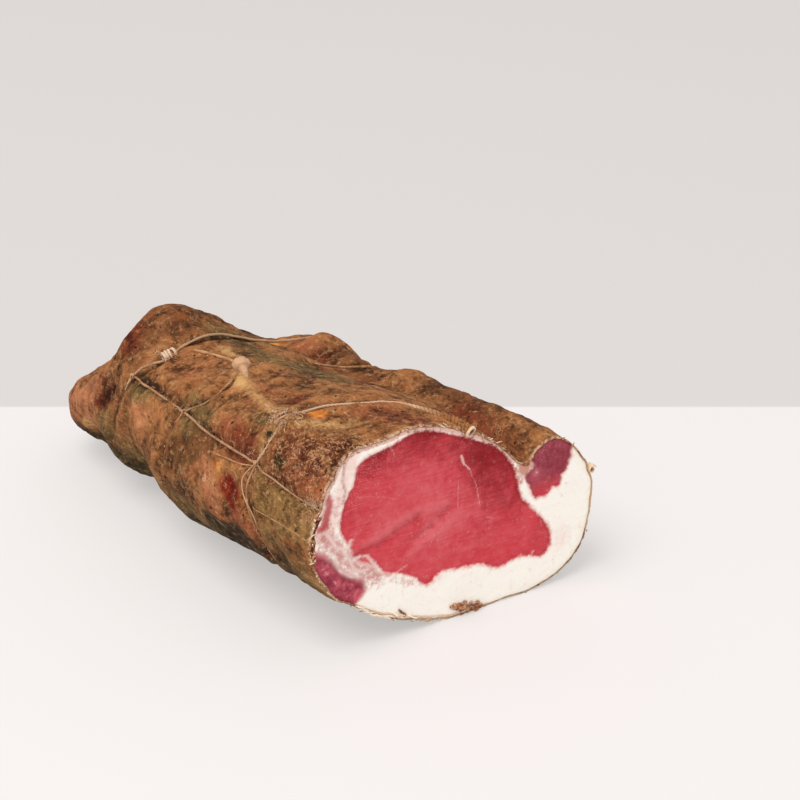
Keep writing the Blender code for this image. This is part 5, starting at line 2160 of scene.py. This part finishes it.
@dataclass(frozen=True)
class Studio:
    """A pale floor, soft light, and the camera of the photograph.

    Attributes:
        azimuth: the camera's angle round the loin, degrees.
        elevation: its angle above the horizon, degrees.
        distance: from the camera to the point that it is aimed by, mm.
        aim: that point of the loin, mm.
        pixel: where it shows.
        image: the picture's width and height.
        focal: the lens in pixels.
        sensor: the camera's sensor, mm.
        lit: the point of the loin that the lamps are aimed at, mm.
        floor_half: half of the floor's width, m.
        horizon: how far behind the cut the greyer part of the floor begins, m.
        daylight: strength of the light from all round.
    """

    azimuth: float = 56.0
    elevation: float = 24.0
    distance: float = 700.0
    aim: Point = (0.0, 55.2, 2.06)
    pixel: Place = (455.0, 612.0)
    image: float = 800.0
    focal: float = 2107.8
    sensor: float = 36.0
    lit: Point = (-60, 50, 25)
    floor_half: float = 4.0
    horizon: float = 0.171
    daylight: float = 0.66

    def ways(self) -> tuple[Vector, Vector, Vector]:
        """The camera's right, up and back."""
        a, e = math.radians(self.azimuth), math.radians(self.elevation)
        back = Vector((math.sin(a) * math.cos(e), -math.cos(a) * math.cos(e), math.sin(e)))
        right = Vector((math.cos(a), math.sin(a), 0))
        return right, back.cross(right), back

    def camera(self) -> None:
        """Place the camera."""
        right, up, back = self.ways()
        half = self.image / 2
        x = (self.pixel[0] - half) / self.focal * self.distance
        y = (half - self.pixel[1]) / self.focal * self.distance
        place = Vector(self.aim) - right * x - up * y + back * self.distance
        data = bpy.data.cameras.new("camera")
        data.sensor_width = self.sensor
        data.lens = self.focal * self.sensor / self.image
        data.clip_start, data.clip_end = 0.01, 20.0
        camera = new_object("camera", data)
        turned = Matrix((right, up, back)).transposed().to_4x4()
        camera.matrix_world = Matrix.Translation(SPACE.place(place)) @ turned
        bpy.context.scene.camera = camera

    def lamp(self, name: str, place: Point, size: float, power: float, colour: Colour) -> None:
        """A square soft light aimed at the loin.

        Args:
            name: its name.
            place: where it stands, mm, seen from the camera: right, back towards it, and up.
            size: its width, mm.
            power: its power, W.
            colour: its colour.
        """
        right, _, back = self.ways()
        towards = Vector((back.x, back.y, 0)).normalized()
        data = bpy.data.lights.new(name, "AREA")
        data.size, data.energy, data.color = size * MM, power, colour[:3]
        lamp = new_object(name, data)
        target = SPACE.place(self.lit)
        lamp.location = target + (right * place[0] + towards * place[1] + Vector((0, 0, place[2]))) * MM
        lamp.rotation_mode = "QUATERNION"
        lamp.rotation_quaternion = (target - lamp.location).to_track_quat("-Z", "Y")

    def floor(self) -> None:
        """The pale floor, a shade greyer further back."""
        bm = bmesh.new()
        bmesh.ops.create_grid(bm, x_segments=1, y_segments=1, size=self.floor_half)
        mesh = mesh_of(bm, "floor")
        s = Shader("pale_floor", Roughness=0.9, Emission_Color=tone(246, 243, 241), Emission_Strength=0.5)
        _, _, back = self.ways()
        start = SPACE.place((0, 55, 0)) - Vector((back.x, back.y, 0)).normalized() * self.horizon
        away = Vector((-back.x, -back.y, 0))
        along = s.node("ShaderNodeVectorMath", {"operation": "DOT_PRODUCT"},
                       {0: s.node("ShaderNodeTexCoord", output="Object"), 1: away}, "Value")
        level = start @ away
        greyer = along.eased(level - 0.001, level + 0.001)
        mesh.materials.append(s.feed(Base_Color=s.mix(tone(164, 159, 158), tone(132, 126, 123), greyer)))
        floor = new_object("floor", mesh)

    def build(self) -> None:
        """Set up the studio."""
        self.camera()
        self.floor()
        world = bpy.data.worlds.new("studio")
        world.use_nodes = True
        sky = world.node_tree.nodes["Background"].inputs
        sky["Color"].default_value, sky["Strength"].default_value = (1.0, 1.0, 1.0, 1.0), self.daylight
        bpy.context.scene.world = world
        white = tone(255, 253, 250)
        self.lamp("key", (-700, 900, 2000), 1500, 39.0, white)
        self.lamp("fill", (1500, 1500, 900), 1700, 5.0, white)
        bpy.context.scene.view_settings.view_transform = "Standard"


def main() -> None:
    """Build the loin and its studio."""
    logging.basicConfig(level=logging.INFO)
    Studio().build()
    casing = Casing()
    wall, first_strands, smooth = casing.skin(lambda surface: Strands(surface).lay_all())
    surface = Surface(wall)
    strands = Strands(surface).lay_all()
    rim = casing.close(wall)
    masks = casing.masks(np.vstack([smooth, coordinates(wall)[len(smooth):]]), first_strands)
    as_piece("dry_casing", wall, DryCasing().material(), masks, ["casing"])
    CutFace(Outline(rim)).build(CutMeat().material())
    Twine(surface, strands).build(CottonTwine().material())
    flakes = DriedFlakes().material()
    RimBits(rim).build(flakes)
    fibres = Fibres(surface)
    fibres.lay_all(strands)
    fibres.build(flakes)


if __name__ == "__main__":
    main()
